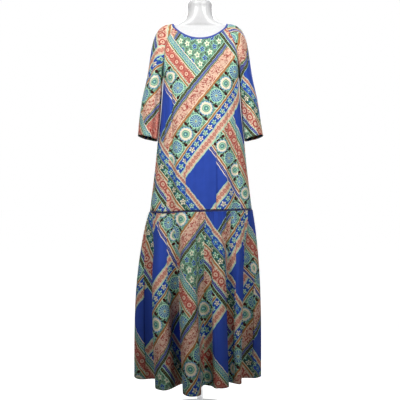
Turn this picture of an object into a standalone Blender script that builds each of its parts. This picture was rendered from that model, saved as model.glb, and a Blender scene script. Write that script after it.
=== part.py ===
"""Maxi dress with raglan sleeves and a gathered skirt, worn by a limbless dress form on a stand.

Metres, +Z up. The front of the dress faces -Y and the origin is on the floor under the pole.
Angles round the dress are in degrees from the centre front, growing towards +X.
"""

import math

import bmesh
import bpy
import numpy as np

NAME = "maxi_dress_on_form"

# Cloth, and the room that sewn pieces keep to each other
WALL = 0.0018
SEAM_GAP = 0.0003

# Heights above the floor
HEM_HEIGHT = 0.161
HIP_SEAM_HEIGHT = 0.8235
CHEST_HEIGHT = 1.300
SLEEVE_HEAD_HEIGHT = 1.335

# The neckline is centred on the pole, the bodice hangs a little to one side and the hem to the other
BODICE_SHIFT = 0.004
SHIFT_FADE = (1.366, 1.550)
HEM_SHIFT = -0.008

# Sections of the bodice: height, half width, reach in front, reach behind, squareness
BODICE_SECTIONS = (
    (0.820, 0.204, 0.156, 0.137, 2.0),
    (0.900, 0.194, 0.150, 0.130, 2.1),
    (1.000, 0.182, 0.143, 0.120, 2.2),
    (1.100, 0.172, 0.137, 0.113, 2.3),
    (1.200, 0.160, 0.132, 0.110, 2.4),
    (1.300, 0.152, 0.128, 0.107, 2.5),
)

# How far the yoke rounds out over the chest and over the shoulder blades, and how long its curves
# keep the chest's direction, as a share of their length
YOKE_ROUNDING = (0.014, 0.040)
CHEST_FALL = 0.33

# Folds that fall from the bust and shoulder blades: angle, spread, depth, height where it starts
BODICE_FOLDS = (
    (-62.0, 10.0, -0.006, 1.16),
    (-40.0, 9.0, 0.011, 1.34),
    (-16.0, 8.0, 0.008, 1.12),
    (16.0, 8.0, 0.009, 1.20),
    (44.0, 10.0, 0.010, 1.28),
    (68.0, 9.0, -0.005, 1.10),
    (118.0, 10.0, 0.010, 1.25),
    (146.0, 9.0, 0.007, 1.14),
    (171.0, 9.0, 0.009, 1.30),
    (203.0, 10.0, 0.008, 1.16),
    (238.0, 9.0, 0.011, 1.26),
)

# Raglan seam from the neckline in front, under the arm, to the neckline behind:
# distance from the centre line, distance ahead, height
RAGLAN_SEAM = (
    (0.104, 0.048, 1.544),
    (0.130, 0.074, 1.486),
    (0.140, 0.084, 1.438),
    (0.1445, 0.064, 1.392),
    (0.148, 0.000, 1.366),
    (0.1445, -0.062, 1.395),
    (0.139, -0.084, 1.445),
    (0.128, -0.074, 1.500),
    (0.103, -0.035, 1.553),
)
UNDERARM_ROW = 4

# Neckline: the middle of its front, of its back, and its highest points on the shoulders
NECK_FRONT = (0.088, 1.489)
NECK_BACK = (-0.066, 1.545)
NECK_SHOULDER = (0.110, 0.004, 1.567)
NECK_CURVE = 2.2

# Hanging part of each sleeve: height, inner side, outer side, reach in front, reach behind
SLEEVE_SECTIONS = {
    "left": (
        (1.112, 0.1700, 0.2485, 0.078, 0.066),
        (1.180, 0.1610, 0.2430, 0.076, 0.068),
        (1.250, 0.1550, 0.2340, 0.074, 0.070),
        (1.335, 0.1495, 0.2160, 0.072, 0.070),
    ),
    "right": (
        (1.112, 0.1780, 0.2525, 0.078, 0.066),
        (1.180, 0.1690, 0.2420, 0.076, 0.068),
        (1.250, 0.1630, 0.2320, 0.074, 0.070),
        (1.335, 0.1575, 0.2140, 0.072, 0.070),
    ),
}
SLEEVE_SIDE = {"left": -1.0, "right": 1.0}
SLEEVE_SQUARENESS = 2.5
SLEEVE_LEAN = 0.008
CUFF_RISE = 0.011
SLEEVE_MEAN_REACH = 0.07

# How a sleeve leaves the neckline and the armhole: its steepest slope and how fast that eases off
# over the shoulder, and the shares of its curves' length that keep each end's direction
SHOULDER_SLOPE = 80.0
SHOULDER_EASING = 1.5
SHOULDER_REACH = 0.36
SHOULDER_FALL = 0.47

# Folds of each sleeve: angle round it from its inner side, spread, depth
SLEEVE_FOLDS = ((62.0, 16.0, 0.007), (128.0, 18.0, 0.004), (250.0, 20.0, 0.006))

# Hip seam: its rise towards the viewer's right, and its dip (depth, angle in radians, spread)
HIP_SEAM_TILT = 0.004
HIP_SEAM_DIP = (0.005, -0.75, 0.35)

# Half width and reaches of the skirt's hem, before its flutes
SKIRT_HALF_WIDTH = 0.252
SKIRT_FRONT = 0.235
SKIRT_BACK = 0.205

# Flutes of the skirt, from the left side over the front: crest at the seam, crest at the hem, its
# reach past the plain hem, then the valley behind it: at the seam, at the hem, its reach
SKIRT_FLUTES = (
    (-88.0, -92.0, 0.004, -64.0, -60.0, -0.095),
    (-46.0, -32.0, 0.000, -30.0, -22.0, -0.124),
    (-12.0, -4.0, 0.042, 4.0, 10.0, -0.096),
    (18.0, 27.0, -0.040, 33.0, 49.0, -0.112),
    (45.0, 51.0, -0.045, 60.0, 70.0, -0.083),
    (82.0, 92.0, 0.002, 100.0, 106.0, -0.078),
    (118.0, 122.0, -0.014, 133.0, 137.0, -0.096),
    (148.0, 151.0, 0.006, 163.0, 166.0, -0.088),
    (178.0, 180.0, -0.004, 192.0, 195.0, -0.100),
    (208.0, 210.0, 0.008, 223.0, 224.0, -0.084),
    (238.0, 238.0, -0.012, 251.0, 252.0, -0.078),
)
RIGHT_SIDE_FLUTE = 5
FLUTE_STEPS = 16

# How fast the skirt spreads and its flutes open below the seam, how round the flutes get and by
# which part of the way down
SPREAD_POWER = 3.5
OPENING_POWER = 1.5
FLUTE_ROUNDING = 1.10
ROUNDED_BY = 0.5

# Gathers under the seam: mesh steps and depth of each, the part of the way down where they end,
# and their unevenness (mean, swing, swing a step)
GATHER_STEPS = 4
GATHER_DEPTH = 0.0034
GATHERS_END = 0.30
GATHER_UNEVENNESS = (0.7, 0.3, 0.37)
SKIRT_ROWS = (0.0, 0.03, 0.075, 0.14, 0.23, 0.35, 0.50, 0.66, 0.83, 1.0)

# Trims
BINDING_WIDTH = 0.0055
BINDING_THICKNESS = 0.0026
BINDING_TAPER = 0.0008
BINDING_LIFT = 0.00045
PIPING_RADIUS = 0.0023

# Sections of the dress form: height, half width, reach in front, reach behind, squareness
FORM_SECTIONS = (
    (0.790, 0.060, 0.045, 0.045, 2.2),
    (0.797, 0.100, 0.070, 0.075, 2.2),
    (0.815, 0.130, 0.088, 0.092, 2.2),
    (0.850, 0.148, 0.096, 0.102, 2.2),
    (0.920, 0.156, 0.102, 0.108, 2.2),
    (1.000, 0.144, 0.097, 0.097, 2.2),
    (1.080, 0.124, 0.090, 0.085, 2.2),
    (1.170, 0.122, 0.094, 0.083, 2.2),
    (1.260, 0.131, 0.110, 0.083, 2.3),
    (1.330, 0.137, 0.115, 0.086, 2.3),
    (1.390, 0.138, 0.101, 0.086, 2.3),
    (1.440, 0.150, 0.087, 0.080, 2.2),
    (1.490, 0.162, 0.070, 0.068, 2.2),
    (1.522, 0.164, 0.054, 0.056, 2.1),
    (1.542, 0.153, 0.045, 0.048, 2.1),
    (1.553, 0.1330, 0.042, 0.0452, 2.0),
    (1.561, 0.1107, 0.0445, 0.0482, 2.0),
    (1.570, 0.087, 0.046, 0.047, 2.0),
    (1.582, 0.066, 0.048, 0.046, 2.0),
    (1.600, 0.055, 0.049, 0.046, 2.0),
    (1.625, 0.050, 0.048, 0.045, 2.0),
    (1.648, 0.050, 0.048, 0.045, 2.0),
    (1.653, 0.0475, 0.0455, 0.0425, 2.0),
)
FORM_STEPS = 32

# Stand
POLE_RADIUS = 0.0125
BASE_RADIUS = 0.190
BASE_THICKNESS = 0.014
BASE_BEVEL = 0.004
SHARP_EDGE = 40.0

# Mesh steps
SEAM_FINENESS = 40
TANGENT_STEP = 0.02
ARMHOLE_STEPS = 10
NECKLINE_STEPS = 12
SHOULDER_STEPS = 4
YOKE_ROWS = 8
BODICE_ROWS = 7
SLEEVE_HEAD_ROWS = 7
SLEEVE_ROWS = 4
PIPING_STEPS = 64
BASE_SIDES = 48
POLE_SIDES = 20

COLOURS = {
    "printed_cloth": (0.16, 0.22, 0.42),
    "binding_cloth": (0.03, 0.06, 0.45),
    "piping_cloth": (0.008, 0.012, 0.06),
    "form_gloss": (0.82, 0.82, 0.80),
    "stand_metal": (0.62, 0.63, 0.64),
    "base_paint": (0.80, 0.80, 0.79),
}
ROUGHNESS = {
    "printed_cloth": 0.75,
    "binding_cloth": 0.7,
    "piping_cloth": 0.6,
    "form_gloss": 0.15,
    "stand_metal": 0.3,
    "base_paint": 0.35,
}


def clear_scene():
    """Remove every object, so that the file can be run again."""
    for item in list(bpy.data.objects):
        bpy.data.objects.remove(item, do_unlink=True)


def material(name):
    """Principled material with the colour and roughness named above."""
    made = bpy.data.materials.new(name)
    made.use_nodes = True
    shader = made.node_tree.nodes["Principled BSDF"]
    shader.inputs["Base Color"].default_value = (*COLOURS[name], 1.0)
    shader.inputs["Roughness"].default_value = ROUGHNESS[name]
    shader.inputs["Metallic"].default_value = 1.0 if name == "stand_metal" else 0.0
    return made


def add_object(name, mesh, material_name):
    """Put a mesh in the dress's collection, shaded smooth, with its material."""
    mesh.materials.append(material(material_name))
    mesh.shade_smooth()
    item = bpy.data.objects.new(name, mesh)
    bpy.data.collections[NAME].objects.link(item)
    return item


def columns_at(table, place):
    """Columns of a table at places along its first column, on smooth curves through its rows."""
    rows = np.array(table)
    knots, values = rows[:, 0], rows[:, 1:]
    slopes = np.gradient(values, knots, axis=0)
    place = np.clip(np.asarray(place, float), knots[0], knots[-1])
    index = np.clip(np.searchsorted(knots, place) - 1, 0, len(knots) - 2)
    span = knots[index + 1] - knots[index]
    part = ((place - knots[index]) / span)[..., None]
    span = span[..., None]
    start = (1 + 2 * part) * (1 - part) ** 2 * values[index]
    start = start + part * (1 - part) ** 2 * span * slopes[index]
    end = part ** 2 * (3 - 2 * part) * values[index + 1]
    end = end + part ** 2 * (part - 1) * span * slopes[index + 1]
    return np.moveaxis(start + end, -1, 0)


def signed_power(value, exponent):
    """Power of a number's size that keeps its sign."""
    return np.sign(value) * np.abs(value) ** exponent


def section_points(table, height, angle, shift):
    """Points round a body at given heights: squared ellipses with unlike front and back."""
    half_width, front, back, square = columns_at(table, height)
    across = signed_power(np.sin(angle), 2 / square)
    ahead = signed_power(np.cos(angle), 2 / square)
    reach = np.where(ahead > 0, front, back)
    return np.stack(np.broadcast_arrays(shift + half_width * across, -reach * ahead, height), axis=-1)


def smooth_step(value):
    """Rise from 0 to 1 with level ends."""
    value = np.clip(value, 0, 1)
    return value * value * (3 - 2 * value)


def unit(vectors):
    """Vectors at length 1."""
    return vectors / np.linalg.norm(vectors, axis=-1, keepdims=True)


def bezier(first, second, third, last, part):
    """Cubic curve between arrays of points."""
    rest = 1 - part
    ends = rest ** 3 * first + part ** 3 * last
    return ends + 3 * rest ** 2 * part * second + 3 * rest * part ** 2 * third


def ring_normals(grid):
    """Outward normals of a closed ring grid, rows down and columns round."""
    round_way = np.roll(grid, -1, axis=1) - np.roll(grid, 1, axis=1)
    down_way = np.gradient(grid, axis=0)
    normals = unit(np.cross(round_way, down_way))
    outwards = grid - grid.mean(axis=1, keepdims=True)
    if np.sum(normals * outwards) < 0:
        normals = -normals
    return normals


def solid_from(name, points, faces, material_name):
    """Closed mesh with its faces turned outwards."""
    mesh = bpy.data.meshes.new(name)
    mesh.from_pydata([tuple(point) for point in points], [], faces)
    work = bmesh.new()
    work.from_mesh(mesh)
    bmesh.ops.recalc_face_normals(work, faces=work.faces)
    work.to_mesh(mesh)
    work.free()
    return add_object(name, mesh, material_name)


def cloth_wall(name, outer, inner, closed, material_name="printed_cloth"):
    """Wall between an outer and an inner grid, a tube when closed and else a panel."""
    rows, columns = outer.shape[:2]
    last = columns if closed else columns - 1
    side = rows * columns
    faces = []
    for row in range(rows - 1):
        for column in range(last):
            right = (column + 1) % columns
            corners = (row * columns + column, row * columns + right,
                       (row + 1) * columns + right, (row + 1) * columns + column)
            faces.append(corners)
            faces.append(tuple(side + corner for corner in reversed(corners)))
    for row in (0, rows - 1):
        for column in range(last):
            a, b = row * columns + column, row * columns + (column + 1) % columns
            faces.append((a, b, side + b, side + a))
    if not closed:
        for row in range(rows - 1):
            for column in (0, columns - 1):
                a, b = row * columns + column, (row + 1) * columns + column
                faces.append((a, b, side + b, side + a))
    points = np.concatenate([outer.reshape(-1, 3), inner.reshape(-1, 3)])
    return solid_from(name, points, faces, material_name)


def tube_grid(name, grid, material_name, capped):
    """Solid over a grid that closes round its columns, with flat ends or closed on itself."""
    rows, columns = grid.shape[:2]
    last = rows - 1 if capped else rows
    faces = []
    for row in range(last):
        below = (row + 1) % rows
        for column in range(columns):
            right = (column + 1) % columns
            faces.append((row * columns + column, row * columns + right,
                          below * columns + right, below * columns + column))
    if capped:
        faces.append(tuple(range(columns)))
        faces.append(tuple(range((rows - 1) * columns, rows * columns)))
    return solid_from(name, grid.reshape(-1, 3), faces, material_name)


def even_points(curve, steps):
    """Points at equal lengths along a finely drawn curve, both its ends kept."""
    lengths = np.concatenate([[0], np.cumsum(np.linalg.norm(np.diff(curve, axis=0), axis=1))])
    places = np.linspace(0, lengths[-1], steps + 1)
    return np.stack([np.interp(places, lengths, curve[:, axis]) for axis in range(3)], axis=1)


def yoke_shift(height):
    """Sideways shift of the yoke: the bodice's at the underarm, none at the neckline."""
    low, high = SHIFT_FADE
    return BODICE_SHIFT * (1 - smooth_step((height - low) / (high - low)))


def raglan_seam(side):
    """Seam points and normals from the front neckline under the arm to the back neckline."""
    table = [(index, *row) for index, row in enumerate(RAGLAN_SEAM)]
    halves = []
    for start, end in ((0, UNDERARM_ROW), (UNDERARM_ROW, len(RAGLAN_SEAM) - 1)):
        out, ahead, height = columns_at(table, np.linspace(start, end, SEAM_FINENESS * (end - start) + 1))
        curve = np.stack([yoke_shift(height) + side * out, -ahead, height], axis=1)
        halves.append(even_points(curve, ARMHOLE_STEPS))
    seam = np.concatenate([halves[0], halves[1][1:]])
    along = unit(np.gradient(seam, axis=0))
    normals = np.stack([np.zeros(len(seam)), along[:, 2], -along[:, 1]], axis=1)
    return seam, unit(normals)


def neckline_between(middle, corner, steps):
    """Half of the front or back neckline, from its middle to a raglan seam's end."""
    part = np.linspace(0, 1, steps + 1)
    across = part * corner[0]
    ahead = middle[0] + (-corner[1] - middle[0]) * part ** NECK_CURVE
    height = middle[1] + (corner[2] - middle[1]) * part ** NECK_CURVE
    return np.stack([across, -ahead, height], axis=1)


def bodice_top(seams):
    """Top edge of the bodice round the dress from the left underarm over the front."""
    left, left_normals = seams["left"]
    right, right_normals = seams["right"]
    half = NECKLINE_STEPS // 2
    mid = ARMHOLE_STEPS
    inwards = np.array([SEAM_GAP / 2, 0, 0])
    front_left = neckline_between(NECK_FRONT, left[0], half)[::-1]
    front_right = neckline_between(NECK_FRONT, right[0], half)
    back_right = neckline_between(NECK_BACK, right[-1], half)[::-1]
    back_left = neckline_between(NECK_BACK, left[-1], half)
    points = np.concatenate([
        left[mid:0:-1] + inwards,
        front_left[:-1],
        front_right[:-1],
        right[:mid] - inwards,
        right[mid:-1] - inwards,
        back_right[:-1],
        back_left[:-1],
        left[:mid:-1] + inwards,
    ])
    count = len(points)
    normals = np.full((count, 3), np.nan)
    normals[:mid + 1] = left_normals[mid::-1]
    normals[mid + NECKLINE_STEPS:mid + NECKLINE_STEPS + 2 * mid + 1] = right_normals
    normals[count - mid:] = left_normals[:mid:-1]
    return points, normals


def hip_seam_height(angle):
    """Height of the hip seam round the dress: lowest at the left front."""
    depth, middle, spread = HIP_SEAM_DIP
    dip = depth * np.exp(-((angle - middle) / spread) ** 2)
    return HIP_SEAM_HEIGHT + HIP_SEAM_TILT * np.sin(angle) - dip


def bodice_fold_depth(angle, height, seam_height):
    """How far the folds pull the cloth in at a place on the bodice."""
    depth = np.zeros(np.broadcast(angle, height).shape)
    for middle, spread, deepest, top in BODICE_FOLDS:
        away = np.degrees(angle) - middle
        away = (away + 180) % 360 - 180
        fall = smooth_step((top - height) / (top - seam_height))
        depth = depth + deepest * np.exp(-(away / spread) ** 2) * fall
    return depth


def bodice_grids(seams):
    """Outer and inner grids round the whole bodice, from its top edge to the hip seam."""
    top, top_normals = bodice_top(seams)
    count = len(top)
    angle = np.radians(-90 + 360 * np.arange(count) / count)
    chest = section_points(BODICE_SECTIONS, np.full(count, CHEST_HEIGHT), angle, BODICE_SHIFT)
    below = section_points(BODICE_SECTIONS, np.full(count, CHEST_HEIGHT - TANGENT_STEP), angle,
                           BODICE_SHIFT)
    length = np.linalg.norm(chest - top, axis=1, keepdims=True)
    outwards = np.stack([np.sin(angle), -np.cos(angle), np.zeros(count)], axis=1)
    rounding = np.where(np.cos(angle) > 0, *YOKE_ROUNDING) * np.cos(angle) ** 2
    second = top + (chest - top) / 3 + rounding[:, None] * outwards
    third = chest + unit(chest - below) * length * CHEST_FALL
    part = np.linspace(0, 1, YOKE_ROWS + 1)[:, None, None]
    yoke = bezier(top, second, third, chest, part)
    end = hip_seam_height(angle) + PIPING_RADIUS + SEAM_GAP
    fall = np.linspace(0, 1, BODICE_ROWS + 1)[1:, None]
    height = CHEST_HEIGHT + (end - CHEST_HEIGHT) * fall
    skirtwards = section_points(BODICE_SECTIONS, height, np.broadcast_to(angle, height.shape), BODICE_SHIFT)
    outer = np.concatenate([yoke, skirtwards])
    depth = bodice_fold_depth(angle[None, :], outer[..., 2], end[None, :])
    outer = outer - depth[..., None] * outwards
    normals = ring_normals(outer)
    given = ~np.isnan(top_normals[:, 0])
    normals[0, given] = top_normals[given]
    return outer, outer - WALL * normals


def make_bodice(seams):
    """Front and back panels, parted at the side seams."""
    outer, inner = bodice_grids(seams)
    count = outer.shape[1]
    half = count // 2
    part = np.array([0, SEAM_GAP / 2, 0])
    for name, columns, away in (("bodice_front", range(half + 1), -part),
                                ("bodice_back", range(half, count + 1), part)):
        picked = [column % count for column in columns]
        panel_outer, panel_inner = outer[:, picked].copy(), inner[:, picked].copy()
        for edge in (0, -1):
            panel_outer[:, edge] += away
            panel_inner[:, edge] += away
        cloth_wall(name, panel_outer, panel_inner, closed=False)


def sleeve_ring(side_name, height, angle):
    """Points round a sleeve at given heights, from its inner side over its front."""
    inner, outer, front, back = columns_at(SLEEVE_SECTIONS[side_name], height)
    middle, half = (inner + outer) / 2, (outer - inner) / 2
    sideways = signed_power(np.cos(angle), 2 / SLEEVE_SQUARENESS)
    ahead = signed_power(np.sin(angle), 2 / SLEEVE_SQUARENESS)
    reach = np.where(ahead > 0, front, back)
    pull = np.ones(np.broadcast(angle, height).shape)
    for place, spread, depth in SLEEVE_FOLDS:
        pull = pull - depth / SLEEVE_MEAN_REACH * np.exp(-((np.degrees(angle) - place) / spread) ** 2)
    across = SLEEVE_SIDE[side_name] * (middle - half * sideways * pull - SLEEVE_LEAN * ahead)
    return np.stack(np.broadcast_arrays(across, -reach * ahead * pull, height), axis=-1)


def sleeve_top(side_name, seams):
    """Top edge of a sleeve from the underarm up the front, over the shoulder and down behind."""
    seam, seam_normals = seams[side_name]
    side = SLEEVE_SIDE[side_name]
    mid = ARMHOLE_STEPS
    shift = np.array([side * SEAM_GAP / 2, 0, 0])
    peak = np.array([side * NECK_SHOULDER[0], -NECK_SHOULDER[1], NECK_SHOULDER[2]])
    part = np.linspace(0, 1, SHOULDER_STEPS + 1)[:, None]
    control = 2 * peak - (seam[0] + seam[-1]) / 2
    shoulder = (1 - part) ** 2 * seam[0] + 2 * part * (1 - part) * control + part ** 2 * seam[-1]
    points = np.concatenate([seam[mid:0:-1], shoulder[:-1], seam[:mid:-1]]) + shift
    normals = np.full(points.shape, np.nan)
    normals[:mid + 1] = seam_normals[mid::-1]
    normals[mid + SHOULDER_STEPS:] = seam_normals[:mid:-1]
    return points, normals


def make_sleeve(side_name, seams):
    """Raglan sleeve: a tube from the armhole and shoulder to an open cuff."""
    top, top_normals = sleeve_top(side_name, seams)
    count = len(top)
    side = SLEEVE_SIDE[side_name]
    angle = 2 * math.pi * np.arange(count) / count
    head = sleeve_ring(side_name, np.full(count, SLEEVE_HEAD_HEIGHT), angle)
    under = sleeve_ring(side_name, np.full(count, SLEEVE_HEAD_HEIGHT - TANGENT_STEP), angle)
    length = np.linalg.norm(head - top, axis=1, keepdims=True)
    slope = np.radians(SHOULDER_SLOPE) * (np.abs(angle - math.pi) / math.pi) ** SHOULDER_EASING
    leave = np.stack([side * np.cos(slope), np.zeros(count), -np.sin(slope)], axis=1)
    second = top + leave * length * SHOULDER_REACH
    third = head + unit(head - under) * length * SHOULDER_FALL
    part = np.linspace(0, 1, SLEEVE_HEAD_ROWS + 1)[:, None, None]
    cap = bezier(top, second, third, head, part)
    cuff = SLEEVE_SECTIONS[side_name][0][0]
    fall = np.linspace(0, 1, SLEEVE_ROWS + 1)[1:, None]
    height = SLEEVE_HEAD_HEIGHT + (cuff - SLEEVE_HEAD_HEIGHT) * fall
    arm = sleeve_ring(side_name, height, np.broadcast_to(angle, (SLEEVE_ROWS, count)))
    arm[..., 2] -= CUFF_RISE * np.cos(angle) * fall
    outer = np.concatenate([cap, arm])
    normals = ring_normals(outer)
    given = ~np.isnan(top_normals[:, 0])
    normals[0, given] = top_normals[given]
    cloth_wall("sleeve_" + side_name, outer, outer - WALL * normals, closed=True)
    return outer, normals


def skirt_rows(drop, extreme, column):
    """Angles and reaches of the flutes' crests and valleys at parts of the way down."""
    seam = np.array([value for row in SKIRT_FLUTES for value in (row[0], row[3])])
    hem = np.array([value for row in SKIRT_FLUTES for value in (row[1], row[4])])
    reach = np.array([value for row in SKIRT_FLUTES for value in (row[2], row[5])])
    turns = (extreme + column) // len(seam)
    index = (extreme + column) % len(seam)
    angle = seam[index] + (hem[index] - seam[index]) * drop + 360 * turns
    return angle, reach[index]


def skirt_outer():
    """Outer grid of the skirt: a spreading ellipse with flutes, gathered along its top."""
    columns = np.arange(len(SKIRT_FLUTES) * FLUTE_STEPS)
    half = FLUTE_STEPS // 2
    drop = np.array(SKIRT_ROWS)[:, None]
    start, start_reach = skirt_rows(drop, columns // half, 0)
    end, end_reach = skirt_rows(drop, columns // half, 1)
    part = (columns % half) / half
    rounding = FLUTE_ROUNDING * smooth_step(drop / ROUNDED_BY)
    angle = np.radians(start + (end - start) * (part + rounding * np.sin(2 * np.pi * part) / (2 * np.pi)))
    reach = (start_reach + end_reach) / 2 + (start_reach - end_reach) / 2 * np.cos(np.pi * part)
    spread = 1 - (1 - drop) ** SPREAD_POWER
    opening = 1 - (1 - drop) ** OPENING_POWER
    seam = columns_at(BODICE_SECTIONS, HIP_SEAM_HEIGHT)
    half_width = seam[0] + (SKIRT_HALF_WIDTH - seam[0]) * spread
    front = seam[1] + (SKIRT_FRONT - seam[1]) * opening
    back = seam[2] + (SKIRT_BACK - seam[2]) * opening
    mean, swing, swing_step = GATHER_UNEVENNESS
    gather = GATHER_DEPTH * np.cos(2 * np.pi * columns / GATHER_STEPS)
    gather = gather * (mean + swing * np.sin(columns * swing_step))
    out = reach * opening + gather * (1 - smooth_step(drop / GATHERS_END))
    ahead = np.cos(angle)
    across = BODICE_SHIFT + (HEM_SHIFT - BODICE_SHIFT) * spread + (half_width + out) * np.sin(angle)
    y = -(np.where(ahead > 0, front, back) + out) * ahead
    top = hip_seam_height((angle + np.pi) % (2 * np.pi) - np.pi) - PIPING_RADIUS - SEAM_GAP
    height = top + (HEM_HEIGHT - top) * drop
    return np.stack([across, y, height], axis=-1)


def make_skirt():
    """Front and back panels of the gathered tier."""
    outer = skirt_outer()
    inner = outer - WALL * ring_normals(outer)
    count = outer.shape[1]
    side = RIGHT_SIDE_FLUTE * FLUTE_STEPS
    part = np.array([0, SEAM_GAP / 2, 0])
    for name, columns, away in (("skirt_front", range(side + 1), -part),
                                ("skirt_back", range(side, count + 1), part)):
        picked = [column % count for column in columns]
        panel_outer, panel_inner = outer[:, picked].copy(), inner[:, picked].copy()
        for edge in (0, -1):
            panel_outer[:, edge] += away
            panel_inner[:, edge] += away
        cloth_wall(name, panel_outer, panel_inner, closed=False)


def make_piping():
    """Corded piping that lies in the hip seam between the bodice and the skirt."""
    angle = 2 * math.pi * np.arange(PIPING_STEPS) / PIPING_STEPS
    height = hip_seam_height((angle + np.pi) % (2 * np.pi) - np.pi)
    ring = section_points(BODICE_SECTIONS, height, angle, BODICE_SHIFT)
    depth = bodice_fold_depth(angle, height, height) + WALL / 2
    ring = ring - depth[:, None] * np.stack([np.sin(angle), -np.cos(angle), 0 * angle], axis=1)
    curve = bpy.data.curves.new("hip_piping", "CURVE")
    curve.dimensions = "3D"
    curve.bevel_depth = PIPING_RADIUS
    curve.bevel_resolution = 1
    spline = curve.splines.new("POLY")
    spline.points.add(PIPING_STEPS - 1)
    for point, place in zip(spline.points, ring):
        point.co = (*place, 1.0)
    spline.use_cyclic_u = True
    curve.materials.append(material("piping_cloth"))
    item = bpy.data.objects.new("hip_piping", curve)
    bpy.data.collections[NAME].objects.link(item)


def make_binding(seams, sleeves):
    """Bias binding round the neckline, standing on the cloth's edge."""
    outer, inner = bodice_grids(seams)
    mid, neck, over = ARMHOLE_STEPS, NECKLINE_STEPS, SHOULDER_STEPS
    edges = []
    front = slice(mid, mid + neck + 1)
    back = slice(3 * mid + neck, 3 * mid + 2 * neck + 1)
    right, right_normals = sleeves["right"]
    left, left_normals = sleeves["left"]
    over_right = slice(mid + 1, mid + over)
    normals = ring_normals(outer)
    edges.append((outer[:2, front], normals[0, front]))
    edges.append((right[:2, over_right], right_normals[0, over_right]))
    edges.append((outer[:2, back], normals[0, back]))
    edges.append((left[:2, over_right][:, ::-1], left_normals[0, over_right][::-1]))
    rim = np.concatenate([rows[0] for rows, _ in edges])
    under = np.concatenate([rows[1] for rows, _ in edges])
    facing = unit(np.concatenate([way for _, way in edges]))
    up = unit(rim - under)
    up = unit(up - facing * np.sum(up * facing, axis=1, keepdims=True))
    up = unit(np.roll(up, 1, axis=0) + 2 * up + np.roll(up, -1, axis=0))
    facing = unit(np.roll(facing, 1, axis=0) + 2 * facing + np.roll(facing, -1, axis=0))
    out = (BINDING_THICKNESS - WALL) / 2
    low, high = BINDING_LIFT, BINDING_LIFT + BINDING_WIDTH
    corners = [rim + up * low + facing * out,
               rim + up * high + facing * (out - BINDING_TAPER),
               rim + up * high + facing * (out + BINDING_TAPER - BINDING_THICKNESS),
               rim + up * low + facing * (out - BINDING_THICKNESS)]
    tube_grid("neck_binding", np.stack(corners, axis=1), "binding_cloth", capped=False)


def make_form():
    """Dress form: torso with a flat-topped neck and no limbs."""
    heights = np.array([row[0] for row in FORM_SECTIONS])[:, None]
    angle = 2 * math.pi * np.arange(FORM_STEPS) / FORM_STEPS
    shape = (len(heights), FORM_STEPS)
    grid = section_points(FORM_SECTIONS, np.broadcast_to(heights, shape),
                          np.broadcast_to(angle, shape), 0.0)
    tube_grid("form_torso", grid, "form_gloss", capped=True)


def make_cylinder(name, radius, low, high, sides, material_name, bevel=0.0):
    """Upright round piece centred on the pole's axis."""
    mesh = bpy.data.meshes.new(name)
    work = bmesh.new()
    bmesh.ops.create_cone(work, cap_ends=True, segments=sides, radius1=radius, radius2=radius,
                          depth=high - low)
    work.to_mesh(mesh)
    work.free()
    item = add_object(name, mesh, material_name)
    mesh.set_sharp_from_angle(angle=math.radians(SHARP_EDGE))
    item.location = (0, 0, (low + high) / 2)
    if bevel:
        rounding = item.modifiers.new("rounded rim", "BEVEL")
        rounding.width = bevel
        rounding.segments = 2
        rounding.limit_method = "ANGLE"


def make_stand():
    """Steel pole under the form on a round painted plate."""
    form_bottom = FORM_SECTIONS[0][0]
    make_cylinder("stand_base", BASE_RADIUS, 0.0, BASE_THICKNESS, BASE_SIDES, "base_paint",
                  BASE_BEVEL)
    make_cylinder("stand_pole", POLE_RADIUS, BASE_THICKNESS + SEAM_GAP, form_bottom - SEAM_GAP,
                  POLE_SIDES, "stand_metal")


def build():
    """Make every piece of the dress, the form and the stand."""
    clear_scene()
    collection = bpy.data.collections.new(NAME)
    bpy.context.scene.collection.children.link(collection)
    seams = {name: raglan_seam(side) for name, side in SLEEVE_SIDE.items()}
    make_stand()
    make_form()
    make_bodice(seams)
    sleeves = {name: make_sleeve(name, seams) for name in SLEEVE_SIDE}
    make_skirt()
    make_piping()
    make_binding(seams, sleeves)


build()
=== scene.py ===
"""Looks of a long scarf-print dress on a glossy dress form, in metres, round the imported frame.

The front of the dress faces -Y. Angles round the dress start at the centre front and grow towards +X.
"""

import math

import bpy
import numpy as np
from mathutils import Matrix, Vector


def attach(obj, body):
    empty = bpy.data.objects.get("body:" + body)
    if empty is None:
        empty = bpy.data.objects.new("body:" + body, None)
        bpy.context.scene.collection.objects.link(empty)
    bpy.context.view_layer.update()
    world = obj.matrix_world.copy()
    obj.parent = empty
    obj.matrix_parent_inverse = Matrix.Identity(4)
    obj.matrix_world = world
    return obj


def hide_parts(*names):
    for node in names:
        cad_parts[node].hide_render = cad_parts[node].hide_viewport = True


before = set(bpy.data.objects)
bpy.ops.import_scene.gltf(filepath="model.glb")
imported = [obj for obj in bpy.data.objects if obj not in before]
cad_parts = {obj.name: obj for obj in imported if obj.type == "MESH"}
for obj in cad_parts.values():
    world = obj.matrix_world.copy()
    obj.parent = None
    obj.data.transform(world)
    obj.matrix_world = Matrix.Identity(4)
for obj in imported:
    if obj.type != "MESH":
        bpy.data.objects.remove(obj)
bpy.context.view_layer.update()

# Camera
# A level camera in front of the dress at half its height, framed as the photograph is.
VIEW_DISTANCE = 2.6
EYE_HEIGHT = 0.865
VIEW_WIDTH = 1.6

camera_data = bpy.data.cameras.new("camera")
camera_data.sensor_width = 36.0
camera_data.lens = camera_data.sensor_width * VIEW_DISTANCE / VIEW_WIDTH
camera = bpy.data.objects.new("camera", camera_data)
bpy.context.scene.collection.objects.link(camera)
camera.location = (0, -VIEW_DISTANCE, EYE_HEIGHT)
camera.rotation_euler = (math.radians(90), 0, 0)
bpy.context.scene.camera = camera

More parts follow.
